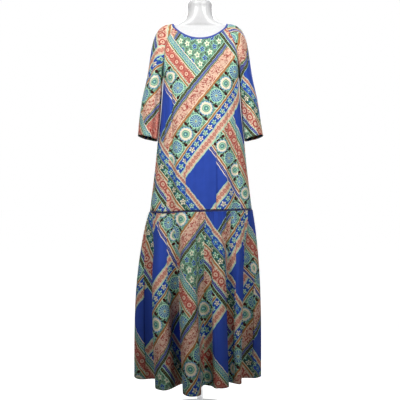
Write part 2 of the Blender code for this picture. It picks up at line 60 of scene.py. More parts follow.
# Studio
# A white room, with soft lights above and in front that fade towards the hem, two more behind, and a
# white floor under the stand.
LIGHT_AIM = Vector((0, 0, 1.30))
LIGHTS = (
    # name, place, width, height, power, spread in degrees
    ("key", (-1.5, -2.1, 2.7), 0.8, 0.9, 5.6, 46.0),
    ("fill", (1.4, -2.1, 2.7), 1.0, 0.9, 5.4, 46.0),
    ("low fill", (0.2, -3.2, 1.4), 2.2, 1.6, 1.8, 120.0),
    ("back left", (-0.5, 2.6, 2.6), 1.0, 1.2, 8.0, 56.0),
    ("back right", (0.9, 2.5, 2.6), 1.0, 1.2, 7.0, 56.0),
)
FLOOR_RADIUS = 40.0
FLOOR_STEPS = 96

bpy.context.scene.view_settings.view_transform = "Standard"
world = bpy.data.worlds.new("white room")
bpy.context.scene.world = world
world.use_nodes = True
world.node_tree.nodes["Background"].inputs["Color"].default_value = (1, 1, 1, 1)
world.node_tree.nodes["Background"].inputs["Strength"].default_value = 1.0
world.cycles_visibility.diffuse = False

for name, place, width, height, power, spread in LIGHTS:
    light = bpy.data.lights.new(name, "AREA")
    light.shape = "RECTANGLE"
    light.size, light.size_y = width, height
    light.energy = power
    light.spread = math.radians(spread)
    lamp = bpy.data.objects.new(name, light)
    bpy.context.scene.collection.objects.link(lamp)
    lamp.location = place
    lamp.rotation_euler = (LIGHT_AIM - Vector(place)).to_track_quat("-Z", "Y").to_euler()


def fill_sockets(tree, node, inputs):
    """Give a node's sockets their values, or links where a value is a Shade."""
    for key, value in inputs.items():
        if isinstance(value, Shade):
            tree.links.new(value.socket, node.inputs[key])
        else:
            node.inputs[key].default_value = value


class Shade:
    """A socket of a material. Arithmetic and comparisons on it add Math nodes to its tree."""

    def __init__(self, tree, socket):
        self.tree = tree
        self.socket = socket

    def node(self, kind, settings, inputs, output=0):
        """Add a node of any kind: its settings, then the values or links of its sockets."""
        made = self.tree.nodes.new(kind)
        for key, value in settings.items():
            setattr(made, key, value)
        fill_sockets(self.tree, made, inputs)
        return Shade(self.tree, made.outputs[output])

    def maths(self, operation, *others):
        """Math node of this value and up to two others."""
        return self.node("ShaderNodeMath", {"operation": operation}, dict(enumerate((self, *others))))

    def __add__(self, other):
        return self.maths("ADD", other)

    def __radd__(self, other):
        return self.maths("ADD", other)

    def __sub__(self, other):
        return self.maths("SUBTRACT", other)

    def __rsub__(self, other):
        return (self * -1).maths("ADD", other)

    def __mul__(self, other):
        return self.maths("MULTIPLY", other)

    def __rmul__(self, other):
        return self.maths("MULTIPLY", other)

    def __truediv__(self, other):
        return self.maths("DIVIDE", other)

    def __lt__(self, other):
        return self.maths("LESS_THAN", other)

    def __gt__(self, other):
        return self.maths("GREATER_THAN", other)


def new_material(name):
    """Material with a Principled shader, and its Object coordinates to build on."""
    made = bpy.data.materials.new(name)
    made.use_nodes = True
    tree = made.node_tree
    place = tree.nodes.new("ShaderNodeTexCoord")
    return made, Shade(tree, place.outputs["Object"])


def finished(made, inputs):
    """The material, with its Principled shader's sockets filled."""
    fill_sockets(made.node_tree, made.node_tree.nodes["Principled BSDF"], inputs)
    return made


def noise(place, scale, detail):
    """Soft mottle from 0 to 1, of a scale and a number of finer layers."""
    return place.node("ShaderNodeTexNoise", {}, {"Vector": place, "Scale": scale, "Detail": detail})


def ranged(value, low, high):
    """Value from 0 to 1 brought between two others."""
    return value.node("ShaderNodeMapRange", {}, {"Value": value, "To Min": low, "To Max": high})


def grey(tone, blue=1.0):
    """Grey of a brightness, with its own share of blue."""
    return tone.node("ShaderNodeCombineColor", {}, {"Red": tone, "Green": tone, "Blue": tone * blue})


def floor_material():
    """White floor that reads as bright as the room."""
    made, place = new_material("studio_floor")
    return finished(made, {
        "Base Color": grey(ranged(noise(place, 1.5, 3.0), 0.80, 0.84)), "Roughness": 0.9,
        "Specular IOR Level": 0.0, "Emission Color": (1, 1, 1, 1), "Emission Strength": 1.0,
    })


floor_mesh = bpy.data.meshes.new("studio_floor")
floor_turn = np.linspace(0, 2 * np.pi, FLOOR_STEPS, endpoint=False)
floor_rim = FLOOR_RADIUS * np.stack([np.cos(floor_turn), np.sin(floor_turn), 0 * floor_turn], axis=1)
floor_mesh.from_pydata(floor_rim.tolist(), [], [list(range(len(floor_rim)))])
floor_mesh.materials.append(floor_material())
floor = bpy.data.objects.new("studio_floor", floor_mesh)
bpy.context.scene.collection.objects.link(floor)
floor.visible_diffuse = False

# Stand
# A round steel plate painted satin white, with a brushed steel pole welded in a small collar at its
# centre. The pole runs up into the form's socket.
BASE_RADIUS = 0.190
BASE_THICKNESS = 0.014
BASE_ROUNDING = 0.004
POLE_RADIUS = 0.0125
POLE_TOP = 0.7897
COLLAR_RADIUS = 0.024
COLLAR_HEIGHT = 0.020
COLLAR_ROUNDING = 0.004
COLLAR_SHOULDER = 0.008
EDGE_BREAK = 0.001
JOINT_GAP = 0.0003
BASE_STEPS = 128
POLE_STEPS = 64


def turned(profile, steps):
    """Surface of revolution: each point (radius, height) of a profile swept round the pole's axis.
    x = radius sin(turn), y = -radius cos(turn), z = height."""
    turn = np.linspace(0, 2 * np.pi, steps, endpoint=False)
    radius, height = np.array(profile).T[:, :, None]
    grid = (radius * np.sin(turn), -radius * np.cos(turn), height + 0 * turn)
    return np.stack(grid, axis=-1)


def grid_mesh(name, points, closed=False, looped=False, across=None, along=None, marks=None):
    """Quads over a grid of points, rows down and columns to the right as seen from outside. A
    closed grid joins its last column to its first, and a looped one its last row too.
    across and along hold each face column's left and right pattern places, in cloth metres, and
    marks holds named values for the points."""
    rows, columns = points.shape[:2]
    number = np.arange(rows * columns).reshape(rows, columns)
    if closed:
        number = np.concatenate([number, number[:, :1]], axis=1)
    if looped:
        number = np.concatenate([number, number[:1]])
    corners = (number[:-1, :-1], number[1:, :-1], number[1:, 1:], number[:-1, 1:])
    faces = np.stack(corners, axis=-1).reshape(-1, 4)
    mesh = bpy.data.meshes.new(name)
    mesh.from_pydata(points.reshape(-1, 3).tolist(), [], faces.tolist())
    if across is not None:
        layer = mesh.uv_layers.new(name="cloth")
        sides = [(across[:-1, :, 0], along[:-1, :, 0]), (across[1:, :, 0], along[1:, :, 0]),
                 (across[1:, :, 1], along[1:, :, 1]), (across[:-1, :, 1], along[:-1, :, 1])]
        flat = np.stack([np.stack(side, axis=-1) for side in sides], axis=2)
        layer.data.foreach_set("uv", flat.astype(np.float32).ravel())
    for key, values in (marks or {}).items():
        layer = mesh.attributes.new(key, "FLOAT", "POINT")
        layer.data.foreach_set("value", values.astype(np.float32).ravel())
    return mesh


def close_ends(mesh, rows, columns):
    """Flat faces over the first and the last ring of a closed grid, facing outwards."""
    points = [vertex.co[:] for vertex in mesh.vertices]
    faces = [polygon.vertices[:] for polygon in mesh.polygons]
    faces.append(tuple(range(columns)))
    faces.append(tuple(reversed(range((rows - 1) * columns, rows * columns))))
    mesh.clear_geometry()
    mesh.from_pydata(points, [], faces)


def place_piece(mesh, material, node):
    """Put a finished mesh in the scene, in place of its CAD node where it has one."""
    mesh.materials.append(material)
    mesh.shade_smooth()
    piece = bpy.data.objects.new(mesh.name, mesh)
    bpy.context.scene.collection.objects.link(piece)
    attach(piece, "root")
    if node:
        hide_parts(node)
    return piece


def rounded_corner(radius, height, rounding, start, end, steps=6):
    """Points of a quarter circle in a profile, about (radius, height), between two angles."""
    turn = np.radians(np.linspace(start, end, steps + 1))
    return [(radius + rounding * math.cos(a), height + rounding * math.sin(a)) for a in turn]


def bumped(height, strength, depth):
    """Normal of a surface that a pattern raises by up to a depth in metres."""
    return height.node("ShaderNodeBump", {}, {"Height": height, "Strength": strength, "Distance": depth})


def base_material():
    """Satin white powder paint: fine orange-peel bump and a little dust in the tone."""
    made, place = new_material("base_paint")
    peel, dust = noise(place, 420.0, 2.0), noise(place, 9.0, 5.0)
    return finished(made, {"Base Color": grey(ranged(dust, 0.76, 0.84), 0.98),
                           "Normal": bumped(peel, 0.15, 0.0003), "Roughness": dust * 0.2 + 0.28})


def pole_material():
    """Brushed steel: fine scratches round the tube, as noise pressed flat along its height."""
    made, place = new_material("stand_metal")
    stretched = place.node("ShaderNodeMapping", {}, {"Vector": place, "Scale": (30.0, 30.0, 900.0)})
    brush = noise(stretched, 1.0, 4.0)
    return finished(made, {"Base Color": (0.62, 0.63, 0.64, 1), "Metallic": 1.0,
                           "Normal": bumped(brush, 0.2, 0.0002), "Roughness": brush * 0.25 + 0.18})


inner_rim = BASE_RADIUS - BASE_ROUNDING
base_profile = [(0.004, BASE_THICKNESS), (0.06, BASE_THICKNESS), (0.12, BASE_THICKNESS)]
base_profile += rounded_corner(inner_rim, BASE_THICKNESS - BASE_ROUNDING, BASE_ROUNDING, 90, 0)
base_profile += rounded_corner(inner_rim, BASE_ROUNDING, BASE_ROUNDING, 0, -90)
base_profile += [(0.12, 0.0), (0.004, 0.0)]
base_mesh = grid_mesh("stand_plate", turned(base_profile, BASE_STEPS), closed=True)
close_ends(base_mesh, len(base_profile), BASE_STEPS)
place_piece(base_mesh, base_material(), "stand_base")

collar_foot = BASE_THICKNESS + JOINT_GAP
collar_top = collar_foot + COLLAR_HEIGHT
pole_profile = [(POLE_RADIUS - EDGE_BREAK, POLE_TOP), (POLE_RADIUS, POLE_TOP - EDGE_BREAK)]
pole_profile += [(POLE_RADIUS, z) for z in np.linspace(POLE_TOP - 0.01, collar_top + 0.006, 24)]
pole_profile += [(POLE_RADIUS, collar_top), (POLE_RADIUS + 2 * EDGE_BREAK, collar_top)]
pole_profile += rounded_corner(COLLAR_RADIUS - COLLAR_ROUNDING, collar_top - COLLAR_SHOULDER,
                               COLLAR_ROUNDING, 75, 0)
pole_profile += [(COLLAR_RADIUS, collar_foot + EDGE_BREAK), (COLLAR_RADIUS, collar_foot)]
pole_mesh = grid_mesh("stand_tube", turned(pole_profile, POLE_STEPS), closed=True)
close_ends(pole_mesh, len(pole_profile), POLE_STEPS)
place_piece(pole_mesh, pole_material(), "stand_pole")

# Dress form
# A limbless torso moulded in glossy white plastic in two halves, with a flat-topped neck. It stands
# on the pole and carries the dress at the shoulders.
FORM_SECTIONS = (
    # height, half width, reach in front, reach behind, squareness
    (0.790, 0.060, 0.045, 0.045, 2.2),
    (0.797, 0.100, 0.070, 0.075, 2.2),
    (0.815, 0.130, 0.088, 0.092, 2.2),
    (0.850, 0.148, 0.096, 0.102, 2.2),
    (0.920, 0.156, 0.102, 0.108, 2.2),
    (1.000, 0.144, 0.097, 0.097, 2.2),
    (1.080, 0.124, 0.090, 0.085, 2.2),
    (1.170, 0.122, 0.094, 0.083, 2.2),
    (1.260, 0.131, 0.110, 0.083, 2.3),
    (1.330, 0.137, 0.115, 0.086, 2.3),
    (1.390, 0.138, 0.101, 0.086, 2.3),
    (1.440, 0.150, 0.087, 0.080, 2.2),
    (1.490, 0.162, 0.070, 0.068, 2.2),
    (1.522, 0.164, 0.054, 0.056, 2.1),
    (1.542, 0.153, 0.045, 0.048, 2.1),
    (1.553, 0.1330, 0.042, 0.0452, 2.0),
    (1.561, 0.1107, 0.0445, 0.0482, 2.0),
    (1.570, 0.087, 0.046, 0.047, 2.0),
    (1.582, 0.066, 0.048, 0.046, 2.0),
    (1.600, 0.055, 0.049, 0.046, 2.0),
    (1.625, 0.050, 0.048, 0.045, 2.0),
    (1.648, 0.050, 0.048, 0.045, 2.0),
    (1.653, 0.0475, 0.0455, 0.0425, 2.0),
)
FORM_COLUMNS = 128
FORM_STEPS = 6
PARTING_DEPTH = 0.0006
PARTING_SPREAD = 0.0016
CAP_RINGS = (0.55, 0.94)
CAP_LIFT = 0.0001


def columns_at(table, place):
    """Columns of a table at places along its first column: cubic curves through its rows, whose
    slope at each row is that of its two neighbours."""
    rows = np.array(table)
    knots, values = rows[:, 0], rows[:, 1:]
    slopes = np.gradient(values, knots, axis=0)
    place = np.clip(np.asarray(place, float), knots[0], knots[-1])
    index = np.clip(np.searchsorted(knots, place) - 1, 0, len(knots) - 2)
    span = knots[index + 1] - knots[index]
    part = ((place - knots[index]) / span)[..., None]
    span = span[..., None]
    start = (1 + 2 * part) * (1 - part) ** 2 * values[index]
    start = start + part * (1 - part) ** 2 * span * slopes[index]
    end = part ** 2 * (3 - 2 * part) * values[index + 1]
    end = end + part ** 2 * (part - 1) * span * slopes[index + 1]
    return np.moveaxis(start + end, -1, 0)


def signed_power(value, exponent):
    """Power of a number's size that keeps its sign."""
    return np.sign(value) * np.abs(value) ** exponent


def section_points(table, height, angle, shift):
    """Squared ellipse at each height: x = shift + half width · sin^(2/s), y = -reach · cos^(2/s),
    where s is the squareness and the reach is the front's or the back's."""
    half_width, front, back, square = columns_at(table, height)
    ahead = signed_power(np.cos(angle), 2 / square)
    reach = np.where(ahead > 0, front, back)
    across = shift + half_width * signed_power(np.sin(angle), 2 / square)
    return np.stack(np.broadcast_arrays(across, -reach * ahead, height), axis=-1)


def form_material():
    """Glossy white moulded plastic with a faint unevenness and fine dust."""
    made, place = new_material("form_gloss")
    swell, dust = noise(place, 7.0, 2.0), noise(place, 160.0, 4.0)
    return finished(made, {
        "Base Color": grey(ranged(swell, 0.61, 0.64)), "Normal": bumped(swell, 0.10, 0.002),
        "Roughness": dust * 0.10 + 0.22, "Specular IOR Level": 0.3, "Coat Weight": 0.08,
        "Coat Roughness": 0.10,
    })


form_heights = [row[0] for row in FORM_SECTIONS]
form_places = np.arange(FORM_STEPS * (len(form_heights) - 1), -1, -1) / FORM_STEPS
form_heights = np.interp(form_places, np.arange(len(form_heights)), form_heights)
form_turn = 2 * np.pi * np.arange(FORM_COLUMNS) / FORM_COLUMNS
form_grid = section_points(FORM_SECTIONS, form_heights[:, None] + 0 * form_turn,
                           form_turn + 0 * form_heights[:, None], 0.0)
parting = PARTING_DEPTH * np.exp(-(form_grid[..., 1] / PARTING_SPREAD) ** 2)
form_grid[..., 0] -= parting * np.sign(form_grid[..., 0])
cap = form_grid[0] * [1, 1, 0] * np.array(CAP_RINGS)[:, None, None]
cap += [0, 0, form_grid[0, 0, 2] + CAP_LIFT]
form_grid = np.concatenate([cap, form_grid])
form_mesh = grid_mesh("moulded_torso", form_grid, closed=True)
close_ends(form_mesh, len(form_grid), FORM_COLUMNS)
place_piece(form_mesh, form_material(), "form_torso")

# Bodice
# Front and back panels of light printed crepe, cut A-line from the neckline to the hip, with raglan
# armholes and side seams. They hang from the shoulders in soft folds.
WALL = 0.0018
SEAM_GAP = 0.0003
HIP_SEAM_HEIGHT = 0.8235
CHEST_HEIGHT = 1.300
BODICE_SHIFT = 0.004
SHIFT_FADE = (1.366, 1.550)
BODICE_SECTIONS = (
    # height, half width, reach in front, reach behind, squareness
    (0.820, 0.204, 0.156, 0.137, 2.0),
    (0.900, 0.194, 0.150, 0.130, 2.1),
    (1.000, 0.182, 0.143, 0.120, 2.2),
    (1.100, 0.172, 0.137, 0.113, 2.3),
    (1.200, 0.160, 0.132, 0.110, 2.4),
    (1.300, 0.152, 0.128, 0.107, 2.5),
)
YOKE_ROUNDING = (0.014, 0.040)
BODICE_FOLDS = (
    # angle, spread, depth, height where it starts
    (-62.0, 10.0, -0.006, 1.16),
    (-40.0, 9.0, 0.011, 1.34),
    (-16.0, 8.0, 0.008, 1.12),
    (16.0, 8.0, 0.009, 1.20),
    (44.0, 10.0, 0.010, 1.28),
    (68.0, 9.0, -0.005, 1.10),
    (118.0, 10.0, 0.010, 1.25),
    (146.0, 9.0, 0.007, 1.14),
    (171.0, 9.0, 0.009, 1.30),
    (203.0, 10.0, 0.008, 1.16),
    (238.0, 9.0, 0.011, 1.26),
)
BODICE_CREASES = (
    # angle and height at its start, angle and height at its end, spread, depth inwards
    (-47, 1.40, -38, 0.98, 0.0060, 0.0051),
    (-29, 1.18, -27, 0.83, 0.0070, -0.0048),
    (-22, 1.46, -19, 1.20, 0.0055, 0.0027),
    (-6, 1.30, -9, 0.84, 0.0060, 0.0044),
    (3, 1.12, 2, 0.86, 0.0050, 0.0031),
    (9, 1.40, 20, 1.02, 0.0060, 0.0044),
    (27, 1.22, 29, 0.84, 0.0075, -0.0051),
    (38, 1.38, 36, 1.06, 0.0060, 0.0037),
    (55, 1.34, 54, 0.92, 0.0065, 0.0044),
    (-58, 1.30, -55, 1.02, 0.0060, 0.0037),
    (-75, 1.24, -74, 0.86, 0.0065, 0.0041),
    (80, 1.26, 78, 0.90, 0.0065, 0.0041),
    (104, 1.28, 101, 0.88, 0.0070, 0.0044),
    (131, 1.40, 128, 1.00, 0.0065, 0.0048),
    (139, 1.16, 137, 0.84, 0.0060, -0.0041),
    (158, 1.44, 156, 1.05, 0.0060, 0.0041),
    (183, 1.22, 184, 0.84, 0.0065, 0.0044),
    (192, 1.42, 190, 1.14, 0.0055, 0.0031),
    (214, 1.34, 216, 0.90, 0.0065, 0.0048),
    (226, 1.18, 227, 0.84, 0.0060, -0.0037),
    (249, 1.30, 252, 0.96, 0.0065, 0.0044),
    # slack under the arms
    (-76, 1.365, -44, 1.300, 0.0080, 0.0051),
    (-72, 1.330, -50, 1.270, 0.0070, -0.0037),
    (76, 1.362, 47, 1.295, 0.0080, 0.0051),
    (72, 1.328, 52, 1.262, 0.0070, -0.0037),
    (104, 1.372, 130, 1.312, 0.0080, 0.0048),
    (256, 1.370, 228, 1.306, 0.0080, 0.0048),
)
BODICE_LAPS = (
    # angle, height where it starts, depth of its step, cloth hidden in it at the hip, side on top
    (-43, 1.34, 0.0075, 0.026, -1),
    (-17, 1.10, 0.0058, 0.018, 1),
    (17, 1.20, 0.0066, 0.021, -1),
    (51, 1.24, 0.0060, 0.019, 1),
    (125, 1.30, 0.0072, 0.022, -1),
    (156, 1.16, 0.0060, 0.018, 1),
    (189, 1.24, 0.0066, 0.020, -1),
    (231, 1.31, 0.0074, 0.024, 1),
)
LAP_EDGE = 0.004
LAP_TAIL = 0.020
LAP_SWELL = 0.35
LAP_OPENING = 0.8
CREASE_FADE = (0.35, 0.30)
CHEST_FALL = 0.33
TANGENT_STEP = 0.020
YOKE_EDGE = 0.20
RAGLAN_SEAM = (
    # out from the centre, ahead, height: from the front neckline, under the arm, to the back
    (0.104, 0.048, 1.544),
    (0.130, 0.074, 1.486),
    (0.140, 0.084, 1.438),
    (0.1445, 0.064, 1.392),
    (0.148, 0.000, 1.366),
    (0.1445, -0.062, 1.395),
    (0.139, -0.084, 1.445),
    (0.128, -0.074, 1.500),
    (0.103, -0.035, 1.553),
)
UNDERARM_ROW = 4
NECK_FRONT = (0.088, 1.489)
NECK_BACK = (-0.066, 1.545)
NECK_CURVE = 2.2
METRES_PER_DEGREE = 0.0028
PIPING_RADIUS = 0.0023
HIP_SEAM_TILT = 0.004
HIP_SEAM_DIP = (0.005, -0.75, 0.35)
ARMHOLE_STEPS = 60
NECKLINE_STEPS = 72
YOKE_ROWS = 56
BODICE_ROWS = 84
SIDES = {"left": -1.0, "right": 1.0}

PALETTE = {
    # colours of the dyes, as they look in even light
    "cobalt": (45, 75, 171),
    "teal": (62, 124, 150),
    "sky": (104, 158, 204),
    "green": (108, 150, 122),
    "pale green": (136, 180, 148),
    "deep green": (56, 92, 78),
    "mint": (176, 220, 190),
    "cream": (238, 228, 200),
    "peach": (222, 186, 162),
    "pale coral": (208, 150, 132),
    "coral": (190, 104, 90),
    "red": (156, 60, 54),
    "maroon": (62, 22, 18),
    "ochre": (174, 116, 70),
    "olive": (112, 116, 72),
    "purple": (84, 66, 140),
    "black": (34, 32, 28),
}
DYE_SPREAD = 0.0045
BAND_SLOPE = math.radians(51.0)
RISING_PITCH = 0.362
RISING_WIDTH = 0.212
RISING_STEP = 0.013
FALLING_PITCH = 0.318
FALLING_WIDTH = 0.164
FIELD_PITCH = 0.030
FIELD_RADII = {"leaf": 0.0065, "rim": 0.0125, "flower": 0.0105, "eye": 0.0036, "dot": 0.0018}
SEAM_ROLL = 0.0035
# width of the painted shade that darkens the print along each seam and edge
SEAM_SHADE = 0.0016
PUCKER_REACH = 0.016
HEM_TURN = 0.010
HEM_EDGE = 0.001
HEM_PUCKER = 0.008
HEM_STITCH = 0.0082
STITCH_GROOVE = 0.0022
CREPE_RELIEF = 0.0005
SEAM_RELIEF = 0.0016


def smooth_step(value):
    """Rise from 0 to 1 with level ends."""
    value = np.clip(value, 0, 1)
    return value * value * (3 - 2 * value)


def unit(vectors):
    """Vectors at length 1."""
    return vectors / np.linalg.norm(vectors, axis=-1, keepdims=True)


def bezier(first, second, third, last, part):
    """Cubic curve between arrays of points: (1-t)^3 a + 3(1-t)^2 t b + 3(1-t) t^2 c + t^3 d."""
    rest = 1 - part
    ends = rest ** 3 * first + part ** 3 * last
    return ends + 3 * rest ** 2 * part * second + 3 * rest * part ** 2 * third


def even_points(curve, steps):
    """Points at equal lengths along a finely drawn curve, both its ends kept."""
    lengths = np.concatenate([[0], np.cumsum(np.linalg.norm(np.diff(curve, axis=0), axis=1))])
    places = np.linspace(0, lengths[-1], steps + 1)
    return np.stack([np.interp(places, lengths, curve[:, axis]) for axis in range(3)], axis=1)


def raglan_seam(side):
    """Seam from the front neckline under the arm to the back: a smooth curve through the table."""
    table = [(index, *row) for index, row in enumerate(RAGLAN_SEAM)]
    low, high = SHIFT_FADE
    halves = []
    for start, end in ((0, UNDERARM_ROW), (UNDERARM_ROW, len(RAGLAN_SEAM) - 1)):
        out, ahead, height = columns_at(table, np.linspace(start, end, 60 * (end - start) + 1))
        shift = BODICE_SHIFT * (1 - smooth_step((height - low) / (high - low)))
        curve = np.stack([shift + side * out, -ahead, height], axis=1)
        halves.append(even_points(curve, ARMHOLE_STEPS))
    return np.concatenate([halves[0], halves[1][1:]])


def neckline_between(middle, corner, steps):
    """Half of a neckline, from its middle to a raglan seam: it rises with a power of its width."""
    part = np.linspace(0, 1, steps + 1)
    ahead = middle[0] + (-corner[1] - middle[0]) * part ** NECK_CURVE
    height = middle[1] + (corner[2] - middle[1]) * part ** NECK_CURVE
    return np.stack([part * corner[0], -ahead, height], axis=1)


def bodice_edge(seams):
    """Top edge of the bodice round the dress, from the left underarm over the front."""
    left, right = seams["left"], seams["right"]
    half = NECKLINE_STEPS // 2
    mid = ARMHOLE_STEPS
    inwards = np.array([SEAM_GAP / 2, 0, 0])
    return np.concatenate([
        left[mid:0:-1] + inwards,
        neckline_between(NECK_FRONT, left[0], half)[:0:-1],
        neckline_between(NECK_FRONT, right[0], half)[:-1],
        right[:-1] - inwards,
        neckline_between(NECK_BACK, right[-1], half)[:0:-1],
        neckline_between(NECK_BACK, left[-1], half)[:-1],
        left[:mid:-1] + inwards,
    ])


def hip_seam_height(angle):
    """Height of the hip seam: tilted a little, and lowest at the left front."""
    depth, middle, spread = HIP_SEAM_DIP
    dip = depth * np.exp(-((angle - middle) / spread) ** 2)
    return HIP_SEAM_HEIGHT + HIP_SEAM_TILT * np.sin(angle) - dip


def wrapped(degrees):
    """Angle brought between -180 and 180."""
    return (degrees + 180) % 360 - 180


def fold_depth(angle, height, seam_height):
    """How far the hanging folds pull the cloth in: each a bell curve round the body that grows
    from its start height down to the hip seam."""
    depth = np.zeros(np.broadcast(angle, height).shape)
    for middle, spread, deepest, top in BODICE_FOLDS:
        fall = smooth_step((top - height) / (top - seam_height))
        depth = depth + deepest * np.exp(-(wrapped(np.degrees(angle) - middle) / spread) ** 2) * fall
    return depth


def crease_depth(table, degrees, height, metres_per_degree):
    """Depth of creases drawn as straight lines from (angle, height) to (angle, height): a bell
    curve of the distance from the line, faded at both its ends."""
    depth = np.zeros(np.broadcast(degrees, height).shape)
    for first_angle, first_height, last_angle, last_height, spread, deepest in table:
        run = (last_angle - first_angle) * metres_per_degree
        drop = last_height - first_height
        length = math.hypot(run, drop)
        x = wrapped(degrees - first_angle) * metres_per_degree
        y = height - first_height
        along = (x * run + y * drop) / length
        away = (x * drop - y * run) / length
        starts = smooth_step(along / (CREASE_FADE[0] * length))
        ends = smooth_step((length - along) / (CREASE_FADE[1] * length))
        depth = depth + deepest * starts * ends * np.exp(-(away / spread) ** 2)
    return depth


def lap_share(height, start):
    """How far a lap has opened at a height: none where it starts, all of it at the hip."""
    return smooth_step((start - height) / (start - HIP_SEAM_HEIGHT)) ** LAP_OPENING


def lap_step(away):
    """Section of a lap, where the cloth folds a little over itself: a step at the line that falls
    off away from it, and a low swell along the side on top."""
    under = smooth_step(away / LAP_EDGE) * np.exp(-np.clip(away, 0, None) / LAP_TAIL)
    return under - LAP_SWELL * np.exp(-((away + LAP_EDGE) / (2 * LAP_EDGE)) ** 2)


def lap_depth(table, degrees, height, metres_per_degree):
    """Depth of a table's laps. Each opens from its start height down."""
    depth = np.zeros(np.broadcast(degrees, height).shape)
    for middle, start, step, _, top_side in table:
        away = -top_side * wrapped(degrees - middle) * metres_per_degree
        depth = depth + step * lap_share(height, start) * lap_step(away)
    return depth


def bodice_grid(seams):
    """Outer side of the whole bodice: Bezier curves from the top edge to the chest, and squared
    ellipses from there to the hip, pulled in by the folds, creases and laps."""
    top = bodice_edge(seams)
    count = len(top)
    angle = np.radians(-90 + 360 * np.arange(count) / count)
    chest = section_points(BODICE_SECTIONS, np.full(count, CHEST_HEIGHT), angle, BODICE_SHIFT)
    below = np.full(count, CHEST_HEIGHT - TANGENT_STEP)
    below = section_points(BODICE_SECTIONS, below, angle, BODICE_SHIFT)
    length = np.linalg.norm(chest - top, axis=1, keepdims=True)
    outwards = np.stack([np.sin(angle), -np.cos(angle), np.zeros(count)], axis=1)
    rounding = np.where(np.cos(angle) > 0, *YOKE_ROUNDING) * np.cos(angle) ** 2
    second = top + (chest - top) / 3 + rounding[:, None] * outwards
    third = chest + unit(chest - below) * length * CHEST_FALL
    part = np.linspace(0, 1, YOKE_ROWS + 1)[:, None, None]
    yoke = bezier(top, second, third, chest, part)
    end = hip_seam_height(angle) + PIPING_RADIUS + SEAM_GAP
    fall = np.linspace(0, 1, BODICE_ROWS + 1)[1:, None]
    height = CHEST_HEIGHT + (end - CHEST_HEIGHT) * fall
    lower = section_points(BODICE_SECTIONS, height, np.broadcast_to(angle, height.shape), BODICE_SHIFT)
    outer = np.concatenate([yoke, lower])
    depth = fold_depth(angle[None, :], outer[..., 2], end[None, :])
    edge = np.concatenate([smooth_step(part[:, :, 0] / YOKE_EDGE), np.ones((BODICE_ROWS, 1))])
    degrees = np.degrees(angle)[None, :]
    depth = depth + edge * crease_depth(BODICE_CREASES, degrees, outer[..., 2], METRES_PER_DEGREE)
    depth = depth + edge * lap_depth(BODICE_LAPS, degrees, outer[..., 2], METRES_PER_DEGREE)
    return outer - depth[..., None] * outwards


def paint(under, over, mask):
    """One colour over another where the mask is 1."""
    return mask.node("ShaderNodeMix", {"data_type": "RGBA", "clamp_factor": True},
                     {0: mask, 6: under, 7: over}, output=2)


def dye(name):
    """Colour of the palette as a shader takes it."""
    part = np.array(PALETTE[name]) / 255
    linear = np.where(part <= 0.04045, part / 12.92, ((part + 0.055) / 1.055) ** 2.4)
    return (*linear.tolist(), 1.0)


def stripe(across, low, high):
    """Mask of a stripe between two distances."""
    return (across > low) * (across < high)


def strip(across, low, high):
    """Offset from a strip's middle, its half width, and its mask."""
    return across - (low + high) / 2, (high - low) / 2, stripe(across, low, high)


def repeated(along, pitch):
    """Distance from the nearest motif's middle along a strip, and whether its number is odd."""
    number = (along / pitch).maths("FLOOR")
    return along - (number + 0.5) * pitch, (number * 0.5).maths("FRACT") > 0.25


def distance(x, y):
    """Distance of a place from a motif's middle."""
    return (x * x + y * y).maths("SQRT")


def petals(x, y, radius, count, depth):
    """Mask of a flower: a disc whose edge swells at each petal."""
    turn = y.maths("ARCTAN2", x)
    edge = (turn * count).maths("COSINE") * (radius * depth) + radius * (1 - depth)
    return distance(x, y) < edge


def rings(colour, reach, half, table):
    """Rings and discs round a motif's middle: from, to, in half widths of its strip, and dye."""
    for low, high, name in table:
        mask = stripe(reach, half * low, half * high) if low else reach < half * high
        colour = paint(colour, dye(name), mask)
    return colour


def ring_strip(colour, across, along, low, high, ground, ring):
    """Strip of ringed red dots in a row, with cream beads along both its edges."""
    y, half, inside = strip(across, low, high)
    pitch = half * 1.25
    x, _ = repeated(along, pitch)
    edge_x, _ = repeated(along + pitch / 2, pitch)
    beads = distance(edge_x, y.maths("ABSOLUTE") - half * 0.78) < half * 0.14
    colour = paint(colour, dye(ground), inside)
    colour = rings(colour, distance(x, y), half, ((0.30, 0.56, ring), (0, 0.16, "red")))
    return paint(colour, dye("cream"), inside * beads)


def blossom_strip(colour, across, along, low, high, ground, first, second):
    """Strip of five-petalled blossoms in two colours, with leaves between them."""
    y, half, inside = strip(across, low, high)
    pitch = half * 2.1
    x, odd = repeated(along, pitch)
    colour = paint(colour, dye(ground), inside)
    leaf_x, _ = repeated(along + pitch / 2, pitch)
    leaf = petals(leaf_x + y * 0.5, y, half * 0.62, 2, 0.55)
    colour = paint(colour, dye("teal"), inside * leaf)
    flower = petals(x, y, half * 0.86, 5, 0.24)
    colour = paint(colour, paint(dye(first), dye(second), odd), inside * flower)
    return rings(colour, distance(x, y), half, ((0.22, 0.38, "deep green"), (0, 0.16, "cream")))


